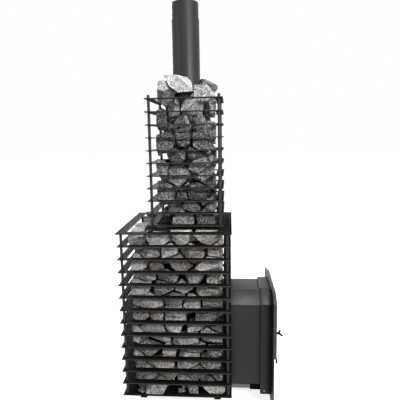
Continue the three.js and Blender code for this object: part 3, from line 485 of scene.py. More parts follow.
def box_planes(low, high):
    planes = []
    for axis in (Vector((1, 0, 0)), Vector((0, 1, 0)), Vector((0, 0, 1))):
        planes += [plane_at(high, axis), plane_at(low, -axis)]
    return planes


def outer_face(point, outward, draw):
    tilt = Vector([STONE_TILT * (2 * next(draw) - 1) for _ in range(3)])
    return plane_at(point - outward * STONE_INSET * next(draw), outward + tilt)


def bulk(seed):
    return STONE_BULK * noise.noise(seed * BULK_SCALE)


def parting_planes(place, seeds, flatness):
    planes = []
    seed = seeds[place]
    order = sorted(range(len(seeds)), key=lambda other: (seeds[other] - seed).length)
    for other in order[1:STONE_NEIGHBOURS + 1]:
        if (seeds[other] - seed).length > STONE_REACH:
            continue
        middle = (seed + seeds[other]) / 2
        lean = noise.noise_vector(middle * LEAN_SCALE) * STONE_LEAN * (1 if place < other else -1)
        across = seeds[other] - seed
        across.z *= flatness
        normal = (across.normalized() + lean).normalized()
        gap = STONE_GAP * (0.4 + 1.4 * abs(noise.noise(middle * GAP_SCALE)))
        planes.append(plane_at(middle + normal * (bulk(seed) - bulk(seeds[other]) - gap / 2), normal))
    return planes


def corners_of(planes):
    normals = np.array([normal for normal, _ in planes])
    offsets = np.array([offset for _, offset in planes])
    trios = np.array(list(itertools.combinations(range(len(planes)), 3)))
    sides = normals[trios]
    meet = np.abs(np.linalg.det(sides)) > 1e-3
    points = np.linalg.solve(sides[meet], offsets[trios[meet]][..., None])[..., 0]
    return points[(points @ normals.T <= offsets + 1e-6).all(axis=1)]


def chip_planes(corners, outward, count, draw):
    centre = corners.mean(axis=0)
    chips = []
    for _ in range(count):
        turn = Vector([2 * next(draw) - 1 for _ in range(3)]).normalized()
        direction = np.array((outward * CHIP_OUTWARD + turn).normalized())
        reach = (corners @ direction).max()
        depth = (reach - centre @ direction) * (CHIP_DEPTH + CHIP_DEPTH_RANGE * next(draw))
        chips.append((tuple(direction), reach - depth))
    return chips


def wrapped(corners):
    hull = bmesh.new()
    for corner in corners:
        hull.verts.new(corner)
    bmesh.ops.remove_doubles(hull, verts=hull.verts, dist=STONE_MERGE)
    bmesh.ops.convex_hull(hull, input=hull.verts)
    hull.verts.index_update()
    loops = []
    for face in hull.faces:
        places = [corner.index for corner in face.verts]
        first = places.index(min(places))
        loops.append(places[first:] + places[:first])
    work = bmesh.new()
    points = [work.verts.new(corner.co) for corner in hull.verts]
    # Sorting the hull's faces keeps each stone the same on every run.
    for loop in sorted(loops):
        work.faces.new([points[place] for place in loop])
    hull.free()
    bmesh.ops.delete(work, geom=[corner for corner in work.verts if not corner.link_faces], context="VERTS")
    return work


def lay_stone(stones, planes, outward, tone, chips, draw):
    corners = corners_of(planes)
    if len(corners) < 4:
        return
    work = wrapped(corners_of(planes + chip_planes(corners, outward, chips, draw)))
    bmesh.ops.dissolve_limit(work, angle_limit=STONE_FLAT_ANGLE, verts=work.verts, edges=work.edges)
    bmesh.ops.triangulate(work, faces=work.faces)
    for _ in range(STONE_SPLITS):
        long = [side for side in work.edges if side.calc_length() > STONE_FACET]
        bmesh.ops.subdivide_edges(work, edges=long, cuts=1)
        bmesh.ops.triangulate(work, faces=[face for face in work.faces if len(face.verts) > 3])
    work.normal_update()
    drift = Vector((next(draw), next(draw), next(draw))) * WEAR_DRIFT
    for corner in work.verts:
        spot = corner.co + drift
        step = abs(noise.noise(spot * STEP_SCALE))
        wave = STEP_WEIGHT * min(step * STEP_SLOPE, 1)
        for scale, weight in FINE_SCALES:
            wave += weight * (1 + noise.noise(spot * scale))
        corner.co -= corner.normal * STONE_WEAR * wave
    stones.append((work, tone))


def stone_pile(name, stones, node):
    points, triangles, tones = [], [], []
    for work, tone in stones:
        work.verts.index_update()
        start = len(points)
        points += [corner.co.copy() for corner in work.verts]
        triangles += [[start + corner.index for corner in face.verts] for face in work.faces]
        tones += [tone] * len(work.verts)
        work.free()
    mesh = bpy.data.meshes.new(name)
    mesh.from_pydata(points, [], triangles)
    mesh.attributes.new("stone_tone", "FLOAT", "POINT").data.foreach_set("value", tones)
    return install(name, shaded(mesh, STONE_CREASE), "stove", [ROCK], [node])


def stone_tone(draw):
    return STONE_TONE + STONE_TONE_RANGE * next(draw)


def stone_wall(low, high, outward, draw, grit):
    seeds = stone_seeds(low, high, draw, STONE_SETTLE, STONE_SINK)
    depth = abs((high - low).dot(outward)) / 2
    stones = []
    for place, seed in enumerate(seeds):
        planes = box_planes(low, high) + [outer_face(seed + outward * depth, outward, draw)]
        planes += parting_planes(place, seeds, STONE_FLATNESS)
        lay_stone(stones, planes, outward, stone_tone(grit), STONE_CHIPS, grit)
    return stones


# Loose stones lie on the base plate in front of the wall: place along the wall, length, height and setback.
LOOSE_STONES = ((0.10, 0.034, 0.013, 0.006), (0.278, 0.102, 0.045, 0.004), (0.55, 0.036, 0.014, 0.010),
                (0.665, 0.052, 0.036, 0.015), (0.905, 0.096, 0.043, 0.006))
LOOSE_CHIPS = 7
LOOSE_CHIP_LEAN = 0.4
LOOSE_SEED = 53


def loose_stones(wall_low, wall_high, draw):
    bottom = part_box("base_plate")[1].z + STONE_CLEARANCE
    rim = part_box("base_plate")[0].y
    stones = []
    for share, length, height, setback in LOOSE_STONES:
        middle = wall_low.x + share * (wall_high.x - wall_low.x)
        low = Vector((middle - length / 2, rim + setback, bottom))
        high = Vector((middle + length / 2, wall_low.y - STONE_CLEARANCE, bottom + height))
        outward = Vector((0, -LOOSE_CHIP_LEAN, 0))
        lay_stone(stones, box_planes(low, high), outward, stone_tone(draw), LOOSE_CHIPS, draw)
    return stones


# One more lies on top of the back wall at its left end, and stands a little above the flange.
CORNER_STONE = (0.096, 0.052, 0.042)
CORNER_RISE = 0.018


def corner_stone(wall_low, wall_high, draw):
    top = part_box("lower_flange")[1].z + CORNER_RISE
    low = Vector((wall_low.x, wall_high.y - CORNER_STONE[1], top - CORNER_STONE[2]))
    stones = []
    planes = box_planes(low, low + Vector(CORNER_STONE))
    outward = Vector((0, 0, LOOSE_CHIP_LEAN))
    lay_stone(stones, planes, outward, stone_tone(draw), LOOSE_CHIPS, draw)
    return stones


# Each wall has an outward direction and a seed. The seed of its chips and tones lies GRIT_STEP above that.
WALLS = (("front", (0, -1, 0), 13), ("back", (0, 1, 0), 23), ("left", (-1, 0, 0), 37))
ROOF_SEED = 41
GRIT_STEP = 1000
for side, outward, seed in WALLS:
    node = "lower_stones_" + side
    low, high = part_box(node)
    stones = stone_wall(low, high, Vector(outward), number_stream(seed), number_stream(seed + GRIT_STEP))
    if side == "front":
        stones += loose_stones(low, high, number_stream(LOOSE_SEED))
    if side == "back":
        stones += corner_stone(low, high, number_stream(LOOSE_SEED))
    stone_pile(f"lower_rocks_{side}", stones, node)

flue_low, flue_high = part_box("flue_pipe")
flue_axis = Vector(((flue_low.x + flue_high.x) / 2, (flue_low.y + flue_high.y) / 2, 0))
flue_clear = (flue_high.x - flue_low.x) / 2 + STONE_CLEARANCE


def flue_face(seed):
    inward = Vector((flue_axis.x - seed.x, flue_axis.y - seed.y, 0)).normalized()
    return plane_at(Vector((flue_axis.x, flue_axis.y, seed.z)) - inward * flue_clear, inward)


def beside_flue(seed):
    return math.hypot(seed.x - flue_axis.x, seed.y - flue_axis.y) > flue_clear


def stone_layer(low, high, draw, grit):
    up = Vector((0, 0, 1))
    seeds = [seed for seed in stone_seeds(low, high, draw, STONE_SPREAD, 0) if beside_flue(seed)]
    stones = []
    for place, seed in enumerate(seeds):
        top = outer_face(seed + up * (high.z - seed.z), up, draw)
        planes = box_planes(low, high) + [flue_face(seed), top]
        lay_stone(stones, planes + parting_planes(place, seeds, 1), up, stone_tone(grit), STONE_CHIPS, grit)
    return stones


def roof_stones(draw, grit):
    low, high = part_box("lower_stones_top")
    fire_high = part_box("firebox_shell")[1]
    wall_x = fire_high.x + STONE_CLEARANCE
    layer_bottom = high.z - STONE_HEIGHT
    stones = stone_layer(Vector((low.x, low.y, layer_bottom)), Vector((wall_x, high.y, high.z)), draw, grit)
    core_low = Vector((low.x, low.y, fire_high.z + STONE_CLEARANCE))
    stones += stone_layer(core_low, Vector((wall_x, high.y, layer_bottom - STONE_GAP)), grit, grit)
    side_low = Vector((wall_x + STONE_GAP, low.y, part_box("fuel_tunnel")[1].z + STONE_CLEARANCE))
    return stones + stone_wall(side_low, high, Vector((1, 0, 0)), draw, grit)


roof = roof_stones(number_stream(ROOF_SEED), number_stream(ROOF_SEED + GRIT_STEP))
stone_pile("lower_rocks_top", roof, "lower_stones_top")


# Flue: a rolled and seam-welded pipe on the firebox roof, with a narrower spigot for the chimney in its top.
# It has a dark grey satin coat, a little streaked along its length, and a rounded rim.
FLUE_SIDES = 96
FLUE_WALL = 0.002
FLUE_BREAK = 0.0004
FLUE_WELD = 1e-6
RIM_TURNS = (0.3, 0.6, 0.9, 1.2, 1.5)
PIPE_RIM = 0.0008
SPIGOT_RIM = 0.0030
STREAK_STRETCH = (1.0, 1.0, 0.03)
FLUE_GREY = (0.015, 0.0154, 0.0165, 1)
FLUE_BLOOM = (0.030, 0.030, 0.031, 1)


def flue_material():
    material = painted_steel(
        "flue_coat", FLUE_GREY, FLUE_BLOOM, amount=0.5, sheen=0.12, specular=0.24)
    tree = material.node_tree
    surface = tree.nodes["Principled BSDF"]
    place = add_node(tree, "ShaderNodeTexCoord").outputs["Object"]
    drawn = add_node(tree, "ShaderNodeMapping", {"Vector": place, "Scale": STREAK_STRETCH}).outputs[0]
    streaks = clouds(tree, drawn, 260.0, 3.0)
    put(tree, surface.inputs["Roughness"], graded(tree, streaks, 0.3, 0.7, 0.36, 0.46))
    return material


FLUE_COAT = flue_material()


def flue_piece(node, rim):
    low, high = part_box(node)
    outer = (high.x - low.x) / 2
    inner = outer - FLUE_WALL
    length = high.z - low.z
    work = bmesh.new()
    profile = [(inner, FLUE_BREAK), (inner + FLUE_BREAK, 0), (outer - FLUE_BREAK, 0), (outer, FLUE_BREAK)]
    profile.append((outer, length - rim))
    profile += [(outer - rim * 0.5 * (1 - math.cos(turn)), length - rim + rim * math.sin(turn))
                for turn in RIM_TURNS]
    profile += [(inner + FLUE_BREAK / 2, length), (inner, length - FLUE_BREAK), (inner, FLUE_BREAK)]
    turned(work, profile, FLUE_SIDES, Vector((flue_axis.x, flue_axis.y, low.z)))
    bmesh.ops.remove_doubles(work, verts=work.verts, dist=FLUE_WELD)
    return finished(work, node + "_rolled", "stove", [FLUE_COAT], [node])


flue_piece("flue_pipe", PIPE_RIM)
flue_piece("flue_spigot", SPIGOT_RIM)


# Upper cage: eleven smaller frames of the same strip on four rods with rounded tips, round the flue.
# A bearer of flat bar lies on the flange of the lower cage and carries the rods.
UPPER_RINGS = 11
UPPER_TIP = 0.004
eased_piece("cage_bearer", PLATE_EDGE, "stove", [BLACK_PAINT, EDGE_PAINT])
for level in range(1, UPPER_RINGS + 1):
    welded_ring(f"upper_ring_{level:02d}", ["upper_rod_" + corner for corner in CORNERS])
for corner in CORNERS:
    rod_piece("upper_rod_" + corner, UPPER_TIP)


# Upper stones: the same rock, stacked in a ring between the flue and the upper cage, with a heap on top.
# The heap's stones are larger slabs that lean against the flue. A smaller one is wedged in beside the first.
HEAP_HEIGHT = 0.092
HEAP_RADIUS = 0.095
HEAP_ANGLES = (-72, -16, 32, 88, 142, 200)
HEAP_LIFTS = (0.036, -0.028, 0.010, 0, 0, -0.030)
HEAP_CRESTS = (1.0, 0.60, 1.0, 0.8, 0.8, 0.74)
HEAP_LEANS = (0.7, 0.7, 1.0, 0.7, 0.7, 0.7)
HEAP_TONES = (0.66, 0.52, 0.22, 0.36, 0.40, 0.46)
HEAP_OVERHANG = 0.010
HEAP_CHIPS = 1
WEDGE_PLACE = (0.074, -0.080, 0.020)
WEDGE_SIZE = (0.070, 0.050, 0.070)
WEDGE_TONE = 0.50
UPPER_CHIPS = 4
# The packed upper stones are painted a step darker than the lower ones, as painted shade.
UPPER_PAINTED_SHADE = 0.22
UPPER_SEED = 59


def heap_seeds(height):
    seeds = []
    for turn, lift in zip(HEAP_ANGLES, HEAP_LIFTS):
        angle = math.radians(turn)
        x = flue_axis.x + HEAP_RADIUS * math.cos(angle)
        seeds.append(Vector((x, HEAP_RADIUS * math.sin(angle), height + lift)))
    return seeds


def upper_stones(draw, grit):
    cage_low, cage_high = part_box(f"upper_ring_{UPPER_RINGS}")
    half = (cage_high.x - cage_low.x) / 2 - STRIP_WIDTH - STONE_CLEARANCE
    ring_top = cage_high.z
    low = Vector((flue_axis.x - half, -half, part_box("cage_bearer")[1].z + STONE_CLEARANCE))
    high = Vector((flue_axis.x + half, half, ring_top + HEAP_HEIGHT))
    over = Vector((HEAP_OVERHANG, HEAP_OVERHANG, 0))
    packed_high = Vector((high.x, high.y, ring_top))
    packed = [seed for seed in stone_seeds(low, packed_high, draw, STONE_SPREAD, 0) if beside_flue(seed)]
    heap = heap_seeds(ring_top + HEAP_HEIGHT / 2)
    seeds = packed + heap
    groups = {"front": [], "back": []}
    for place, seed in enumerate(seeds):
        heaped = place >= len(packed)
        reach = half + (HEAP_OVERHANG if heaped else 0)
        planes = box_planes(low - over, high + over) if heaped else box_planes(low, high)
        planes.append(flue_face(seed))
        offset = Vector((seed.x - flue_axis.x, seed.y, 0))
        for side in (Vector((1, 0, 0)), Vector((-1, 0, 0)), Vector((0, 1, 0)), Vector((0, -1, 0))):
            if offset.dot(side) > half / 3:
                planes.append(outer_face(Vector((flue_axis.x, 0, seed.z)) + side * reach, side, draw))
                if heaped:
                    rim = Vector((flue_axis.x, 0, ring_top + STONE_CLEARANCE)) + side * half
                    planes.append(plane_at(rim, side - Vector((0, 0, 1))))
        outward = offset.normalized()
        # Painted shade: the packed stones here are darker by a fixed step.
        tone = stone_tone(grit) - UPPER_PAINTED_SHADE
        chips = HEAP_CHIPS if heaped else UPPER_CHIPS
        if heaped:
            rank = place - len(packed)
            top = ring_top + HEAP_HEIGHT * HEAP_CRESTS[rank]
            crest = Vector((flue_axis.x, 0, top)) + outward * flue_clear
            planes.append(outer_face(crest, outward * HEAP_LEANS[rank] + Vector((0, 0, 1)), draw))
            tone = HEAP_TONES[rank]
        group = groups["back" if seed.y > half / 3 else "front"]
        lay_stone(group, planes + parting_planes(place, seeds, 1), outward, tone, chips, grit)
    wedge = flue_axis + Vector(WEDGE_PLACE) + Vector((0, 0, ring_top))
    planes = box_planes(wedge - Vector(WEDGE_SIZE) / 2, wedge + Vector(WEDGE_SIZE) / 2)
    outward = Vector((wedge.x - flue_axis.x, wedge.y, 0)).normalized()
    lay_stone(groups["front"], planes + [flue_face(wedge)], outward / 2, WEDGE_TONE, LOOSE_CHIPS, grit)
    return groups


upper = upper_stones(number_stream(UPPER_SEED), number_stream(UPPER_SEED + GRIT_STEP))
for side, stones in upper.items():
    stone_pile("upper_rocks_" + side, stones, "upper_stones_" + side)


# Fuel tunnel and collar: the tunnel is a folded steel duct, welded to the mouth of the firebox.
# The collar is a thinner sleeve round its outer end, held by small zinc-plated screws low on each side.
DUCT_EDGE = 0.0015
COLLAR_EDGE = 0.0009
SCREW_RADIUS = 0.0036
SCREW_SIDES = 20
SCREW_SETBACK = 0.018
SCREW_HEIGHT = 0.016
SATIN_BLACK = (0.0095, 0.0097, 0.0104, 1)
SATIN_DUST = (0.040, 0.040, 0.041, 1)
# A lighter copy of the satin paint for edges and rims: partly wear, partly a painted highlight.
SATIN_WORN_AND_HIGHLIGHT = (0.030, 0.0305, 0.032, 1)
HIGHLIGHT_EDGE_DUST = (0.045, 0.045, 0.046, 1)
ZINC_BRIGHT = (0.62, 0.63, 0.65, 1)
ZINC_DULL = (0.45, 0.45, 0.46, 1)
SATIN_PAINT = painted_steel(
    "satin_stove_paint", SATIN_BLACK, SATIN_DUST, amount=0.45, sheen=0.20, specular=0.27)
SATIN_EDGE = painted_steel(
    "worn_and_highlighted_satin_edge", SATIN_WORN_AND_HIGHLIGHT, HIGHLIGHT_EDGE_DUST, amount=0.30, sheen=0.22, specular=0.40)
ZINC_PLATE = zinc_material("zinc_plate", ZINC_BRIGHT, ZINC_DULL, metallic=0.7)


def screw(work, point, outward):
    head = bmesh.new()
    profile = [(0, -0.001), (SCREW_RADIUS, -0.001), (SCREW_RADIUS, 0.0008), (SCREW_RADIUS * 0.86, 0.0019),
               (SCREW_RADIUS * 0.5, 0.0026), (SCREW_RADIUS * 0.42, 0.0026), (SCREW_RADIUS * 0.36, 0.0012),
               (0, 0.0012)]
    turned(head, profile, SCREW_SIDES, Vector())
    turn = outward.to_track_quat("Z", "Y").to_matrix().to_4x4()
    bmesh.ops.transform(head, matrix=Matrix.Translation(point) @ turn, verts=head.verts)
    mesh = bpy.data.meshes.new("screw")
    head.to_mesh(mesh)
    head.free()
    work.from_mesh(mesh)


eased_piece("fuel_tunnel", DUCT_EDGE, "stove", [SATIN_PAINT, SATIN_EDGE])
eased_piece("tunnel_collar", COLLAR_EDGE, "stove", [SATIN_PAINT, SATIN_EDGE])
collar_low, collar_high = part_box("tunnel_collar")
screws = bmesh.new()
for outward in (-1, 1):
    face = collar_low.y if outward < 0 else collar_high.y
    point = Vector((collar_low.x + SCREW_SETBACK, face, collar_low.z + SCREW_HEIGHT))
    screw(screws, point, Vector((0, outward, 0)))
finished(screws, "collar_screws", "stove", [ZINC_PLATE], [])


# Portal plate: a thick steel front on the tunnel's end, with the fuel opening and the drawer's slot cut in.
# It is welded to the tunnel. The hinge brackets and the latch keeper are welded to its face.
# The rim of the plate is painted brighter than its flat faces, as a painted highlight.
PORTAL_EDGE = 0.0008
HINGE_EDGE = 0.0005
KEEPER_EDGE = 0.0006


def highlighted_rim(work):
    # Upright rim faces take the lighter edge paint, a painted highlight.
    for face in work.faces:
        face.normal_update()
        if abs(face.normal.x) < RIM_SLOPE:
            face.material_index = 1


MATT_PAINT = painted_steel(
    "matt_stove_paint", SATIN_BLACK, SATIN_DUST, amount=0.55, sheen=0.20, specular=0.03)
eased_piece("portal_plate", PORTAL_EDGE, "stove", [MATT_PAINT, SATIN_EDGE], extra=highlighted_rim)
eased_piece("hinge_lower", HINGE_EDGE, "stove", [SATIN_PAINT, SATIN_EDGE])
eased_piece("hinge_upper", HINGE_EDGE, "stove", [SATIN_PAINT, SATIN_EDGE])
eased_piece("latch_keeper", KEEPER_EDGE, "stove", [SATIN_PAINT, SATIN_EDGE])


# Fire door: a folded steel pan with a window of ceramic glass, hung on two lift-off hinges.
# A folded retainer clamps the glass from inside, and a woven glass-fibre rope seals the door to the portal.
# The glass is faintly brown, with a bloom of soot towards its edges.
DOOR_EDGE = 0.0006
RETAINER_EDGE = 0.0004
GLASS_EDGE = 0.0006
ROPE_ROUNDING = 0.0022
GLASS_TINT = (0.72, 0.66, 0.58, 1)
GLASS_SOOT = (0.26, 0.21, 0.17, 1)
ROPE_GREY = (0.30, 0.29, 0.27, 1)
ROPE_STAIN = (0.09, 0.085, 0.08, 1)
ROPE_PALE = (0.42, 0.41, 0.39, 1)


def glass_material():
    material, tree, surface = new_material("ceramic_glass")
    place = add_node(tree, "ShaderNodeTexCoord").outputs["Object"]
    low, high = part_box("door_glass")
    spot = add_node(tree, "ShaderNodeSeparateXYZ", {0: place}).outputs
    across = maths(tree, "ABSOLUTE", graded(tree, spot["Y"], low.y, high.y, -1.0, 1.0), 0.0)
    along = maths(tree, "ABSOLUTE", graded(tree, spot["Z"], low.z, high.z, -1.0, 1.0), 0.0)
    wisps = maths(tree, "MULTIPLY", clouds(tree, place, 14.0, 4.0, 0.6), 0.6)
    soot = graded(tree, maths(tree, "ADD", maths(tree, "MAXIMUM", across, along), wisps), 0.95, 1.5)
    put(tree, surface.inputs["Base Color"], mixed(tree, soot, GLASS_TINT, GLASS_SOOT))
    put(tree, surface.inputs["Roughness"], graded(tree, soot, 0.0, 1.0, 0.02, 0.16))
    surface.inputs["Transmission Weight"].default_value = 1.0
    surface.inputs["IOR"].default_value = 1.53
    return material


def rope_material():
    material, tree, surface = new_material("seal_rope")
    place = add_node(tree, "ShaderNodeTexCoord").outputs["Object"]
    fibres = clouds(tree, place, 1500.0, 3.0)
    stained = graded(tree, clouds(tree, place, 40.0, 4.0), 0.4, 0.7)
    grey = mixed(tree, stained, ROPE_GREY, ROPE_STAIN)
    lit = graded(tree, fibres, 0.35, 0.65, 0, 0.5)
    put(tree, surface.inputs["Base Color"], mixed(tree, lit, grey, ROPE_PALE))
    bump = add_node(tree, "ShaderNodeBump", {"Strength": 0.6, "Distance": 0.0006, "Height": fibres})
    put(tree, surface.inputs["Normal"], bump.outputs["Normal"])
    surface.inputs["Roughness"].default_value = 0.95
    return material


CERAMIC_GLASS = glass_material()
SEAL_ROPE = rope_material()
eased_piece("door_frame", DOOR_EDGE, "door", [SATIN_PAINT, SATIN_EDGE], extra=highlighted_rim)
eased_piece("glass_retainer", RETAINER_EDGE, "door", [SOOTED, EDGE_PAINT])
eased_piece("door_glass", GLASS_EDGE, "door", [CERAMIC_GLASS, CERAMIC_GLASS])
eased_piece("door_seal", ROPE_ROUNDING, "door", [SEAL_ROPE, SEAL_ROPE])


# Latch: a forged handle with two forked fingers on a round shaft, with a flat cam welded to its inner end.
# Turning the handle swings the cam behind the keeper on the portal plate.
SHAFT_RADIUS = 0.005
DOOR_DEPTH = 0.009
HANDLE_REACH = 0.016
LOWER_FINGER = 0.022
UPPER_FINGER = 0.016
FINGER_RADIUS = 0.0056
CAM_LENGTH = 0.020
CAM_THICKNESS = 0.0018
CAM_EDGE = 0.0004
SHAFT_STEPS = 24
SHAFT_SIDES = 24
LOWER_ANGLE = math.radians(-36)
UPPER_ANGLE = math.radians(62)
FINGER_ROOT = 0.004
FINGER_STEPS = 16
FINGER_SIDES = 16
FINGER_TAPER = 0.30
FINGER_FLATNESS = 0.85
TIP_START = 13
TIP_STEPS = 3.2
TIP_BLUNT = 0.02
BAR_BLUNT = 0.12


def swept(work, points, radii, sides=16, flatten=1.0):
    rings = []
    for place, (point, radius) in enumerate(zip(points, radii)):
        before = points[max(place - 1, 0)]
        after = points[min(place + 1, len(points) - 1)]
        along = (after - before).normalized()
        side = Vector((0, 1, 0))
        up = along.cross(side).normalized()
        ring = []
        for step in range(sides):
            turn = 2 * math.pi * step / sides
            across = side * radius * math.cos(turn)
            ring.append(work.verts.new(point + across + up * radius * flatten * math.sin(turn)))
        rings.append(ring)
    for lower, upper in zip(rings, rings[1:]):
        for step in range(sides):
            after = (step + 1) % sides
            work.faces.new((lower[step], upper[step], upper[after], lower[after]))
    work.faces.new(rings[0])
    work.faces.new(reversed(rings[-1]))


def bent_bar(work, points, radius, tip):
    radii = []
    for point in points:
        gap = (point - points[-1]).length
        rounding = math.sqrt(max(1 - (1 - gap / tip) ** 2, 0))
        radii.append(radius if gap > tip else max(radius * rounding, radius * BAR_BLUNT))
    swept(work, points, radii)


def forged_handle():
    low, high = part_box("latch_handle")
    middle_y = (low.y + high.y) / 2
    pivot = Vector((low.x, middle_y, low.z + CAM_LENGTH))
    elbow = Vector((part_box("door_frame")[0].x + DOOR_DEPTH + HANDLE_REACH, middle_y, pivot.z))
    work = bmesh.new()
    shaft = [pivot.lerp(elbow, step / SHAFT_STEPS) for step in range(SHAFT_STEPS + 1)]
    swept(work, shaft, [SHAFT_RADIUS] * len(shaft), SHAFT_SIDES)
    for length, angle in ((LOWER_FINGER, LOWER_ANGLE), (UPPER_FINGER, UPPER_ANGLE)):
        along = Vector((math.cos(angle), 0, math.sin(angle)))
        start = elbow - Vector((FINGER_ROOT, 0, 0))
        points, radii = [], []
        for step in range(FINGER_STEPS + 1):
            share = 1 - FINGER_TAPER * step / FINGER_STEPS
            rounding = math.sqrt(max(1 - max(0, (step - TIP_START) / TIP_STEPS) ** 2, TIP_BLUNT))
            points.append(start + along * length * step / FINGER_STEPS)
            radii.append(FINGER_RADIUS * share * rounding)
        swept(work, points, radii, FINGER_SIDES, FINGER_FLATNESS)
    cam = bmesh.ops.create_cube(work, size=1)["verts"]
    size = Vector((CAM_THICKNESS, high.y - low.y, CAM_LENGTH))
    for corner in cam:
        corner.co = Vector((low.x, middle_y - size.y / 2, low.z)) + Vector(
            [(corner.co[axis] + 0.5) * size[axis] for axis in range(3)])
    rims = list({side for corner in cam for side in corner.link_edges})
    bmesh.ops.bevel(work, geom=rims, offset=CAM_EDGE, segments=2, profile=0.5, affect="EDGES",
                    clamp_overlap=True)
    return finished(work, "latch_handle_forged", "latch", [BLACK_PAINT], ["latch_handle"])


forged_handle()


# Ash drawer: a welded sheet-steel tray that slides on the tunnel floor, with a thicker front plate.
# Its pull is a bent round bar with a rounded end, welded to the front.
DRAWER_EDGE = 0.0006
PULL_RADIUS = 0.0045
PULL_BEAD = 0.0011
PULL_BEAD_SETBACK = 0.0008
STRAIGHT_STEPS = 6
BEND_STEPS = 24


def bent_pull():
    low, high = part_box("drawer_pull")
    root = Vector((low.x, (low.y + high.y) / 2, high.z - PULL_RADIUS))
    end = Vector((high.x - PULL_RADIUS, root.y, low.z))
    half_way = Vector(((root.x + end.x) / 2, root.y, root.z))
    bend = Vector((end.x, root.y, root.z))
    points = [root.lerp(half_way, step / STRAIGHT_STEPS) for step in range(STRAIGHT_STEPS)]
    for step in range(BEND_STEPS + 1):
        share = step / BEND_STEPS
        points.append(half_way.lerp(bend, share).lerp(bend.lerp(end, share), share))
    work = bmesh.new()
    bent_bar(work, points, PULL_RADIUS, PULL_RADIUS)
    weld = root + Vector((PULL_BEAD_SETBACK, 0, 0))
    bead(work, weld, Vector((1, 0, 0)), PULL_RADIUS, PULL_BEAD, 24, 8)
    return finished(work, "drawer_pull_bent", "drawer", [BLACK_PAINT], ["drawer_pull"])


eased_piece("ash_drawer", DRAWER_EDGE, "drawer", [SATIN_PAINT, SATIN_EDGE])
bent_pull()


# Floor, light and camera: a pale studio floor that runs out to white, with lamps on all sides and above.
# The camera stands in front of the cages, to the right and above mid height, and looks slightly down.
FLOOR_PALE = (0.52, 0.52, 0.52, 1)
FLOOR_GREY = (0.50, 0.50, 0.50, 1)
FLOOR_GLOW = 0.86
FLOOR_REACH = 30
AIM_HEIGHT = 0.75
STRIP_AIM_HEIGHT = 1.2


def seen_directly(tree):
    path = add_node(tree, "ShaderNodeLightPath").outputs
    mirrored = maths(tree, "MAXIMUM", path["Is Glossy Ray"], path["Is Transmission Ray"])
    return maths(tree, "MAXIMUM", path["Is Camera Ray"], mirrored)


def floor_material():
    material, tree, surface = new_material("studio_floor")
    place = add_node(tree, "ShaderNodeTexCoord").outputs["Object"]
    reach = add_node(tree, "ShaderNodeVectorMath", {0: place}, operation="LENGTH").outputs["Value"]
    grain = clouds(tree, place, 30.0, 4.0)
    put(tree, surface.inputs["Base Color"], mixed(tree, grain, FLOOR_PALE, FLOOR_GREY))
    surface.inputs["Roughness"].default_value = 0.9
    surface.inputs["Specular IOR Level"].default_value = 0.1
    surface.inputs["Emission Color"].default_value = (1, 1, 1, 1)
    glow = graded(tree, reach, 0.5, 3.0, FLOOR_GLOW, 1.0)
    put(tree, surface.inputs["Emission Strength"], maths(tree, "MULTIPLY", glow, seen_directly(tree)))
    return material


floor_mesh = bpy.data.meshes.new("studio_floor")
floor_corners = [(x * FLOOR_REACH, y * FLOOR_REACH, 0) for x, y in ((-1, -1), (1, -1), (1, 1), (-1, 1))]
floor_mesh.from_pydata(floor_corners, [], [(0, 1, 2, 3)])
floor_mesh.materials.append(floor_material())
floor = bpy.data.objects.new("studio_floor", floor_mesh)
bpy.context.scene.collection.objects.link(floor)

base_low, base_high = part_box("base_plate")
cage_axis = Vector(((base_low.x + base_high.x) / 2, (base_low.y + base_high.y) / 2, base_low.z))


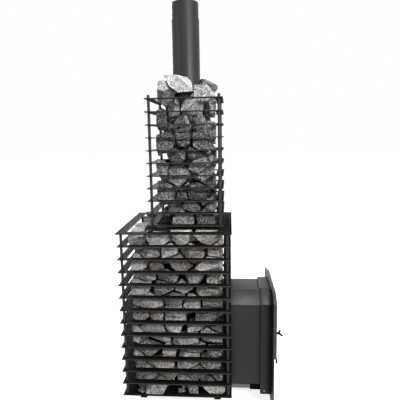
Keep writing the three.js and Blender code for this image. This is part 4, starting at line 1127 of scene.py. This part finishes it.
def soft_lamp(name, place, aim, width, height, watts):
    lamp = bpy.data.lights.new(name, "AREA")
    lamp.shape = "RECTANGLE"
    lamp.size = width
    lamp.size_y = height
    lamp.energy = watts
    holder = bpy.data.objects.new(name, lamp)
    holder.location = place
    holder.rotation_euler = (aim - place).to_track_quat("-Z", "Y").to_euler()
    bpy.context.scene.collection.objects.link(holder)


middle = Vector((cage_axis.x, 0, AIM_HEIGHT))
upper_middle = Vector((cage_axis.x, 0, STRIP_AIM_HEIGHT))
soft_lamp("key_lamp", Vector((1.9, -2.8, 2.1)), middle, width=0.40, height=0.40, watts=82)
soft_lamp("top_lamp", Vector((0.45, -1.2, 3.6)), middle, width=1.0, height=1.0, watts=80)
soft_lamp("strip_lamp", Vector((2.3, -1.7, 1.7)), upper_middle, width=0.35, height=1.8, watts=26)
soft_lamp("left_lamp", Vector((-2.6, -1.4, 1.6)), middle, width=1.2, height=2.0, watts=16)
soft_lamp("back_lamp", Vector((-1.2, 3.0, 2.2)), middle, width=1.6, height=1.6, watts=80)

world = bpy.data.worlds.new("studio")
bpy.context.scene.world = world
world.use_nodes = True
sky = world.node_tree
put(sky, sky.nodes["Background"].inputs["Color"], (1, 1, 1, 1))
put(sky, sky.nodes["Background"].inputs["Strength"], graded(sky, seen_directly(sky), 0.0, 1.0, 0.02, 1.0))

YAW = -0.072375
PITCH = 0.153997
ROLL = -0.017236
CAMERA_OFFSET = (0.23016, -1.84710, 1.10991)
CAMERA_LENS = 37.035
CAMERA_SENSOR = 36
forward = Vector((math.sin(YAW) * math.cos(PITCH), math.cos(YAW) * math.cos(PITCH), -math.sin(PITCH)))
right = Vector((math.cos(YAW), -math.sin(YAW), 0))
up = right.cross(forward)
level_right = math.cos(ROLL) * right + math.sin(ROLL) * up
level_up = -math.sin(ROLL) * right + math.cos(ROLL) * up
camera = bpy.data.objects.new("camera", bpy.data.cameras.new("camera"))
camera.data.lens = CAMERA_LENS
camera.data.sensor_width = CAMERA_SENSOR
camera_turn = Matrix((level_right, level_up, -forward)).transposed().to_4x4()
camera.matrix_world = Matrix.Translation(cage_axis + Vector(CAMERA_OFFSET)) @ camera_turn
bpy.context.scene.collection.objects.link(camera)
bpy.context.scene.camera = camera
bpy.context.scene.view_settings.view_transform = "Standard"
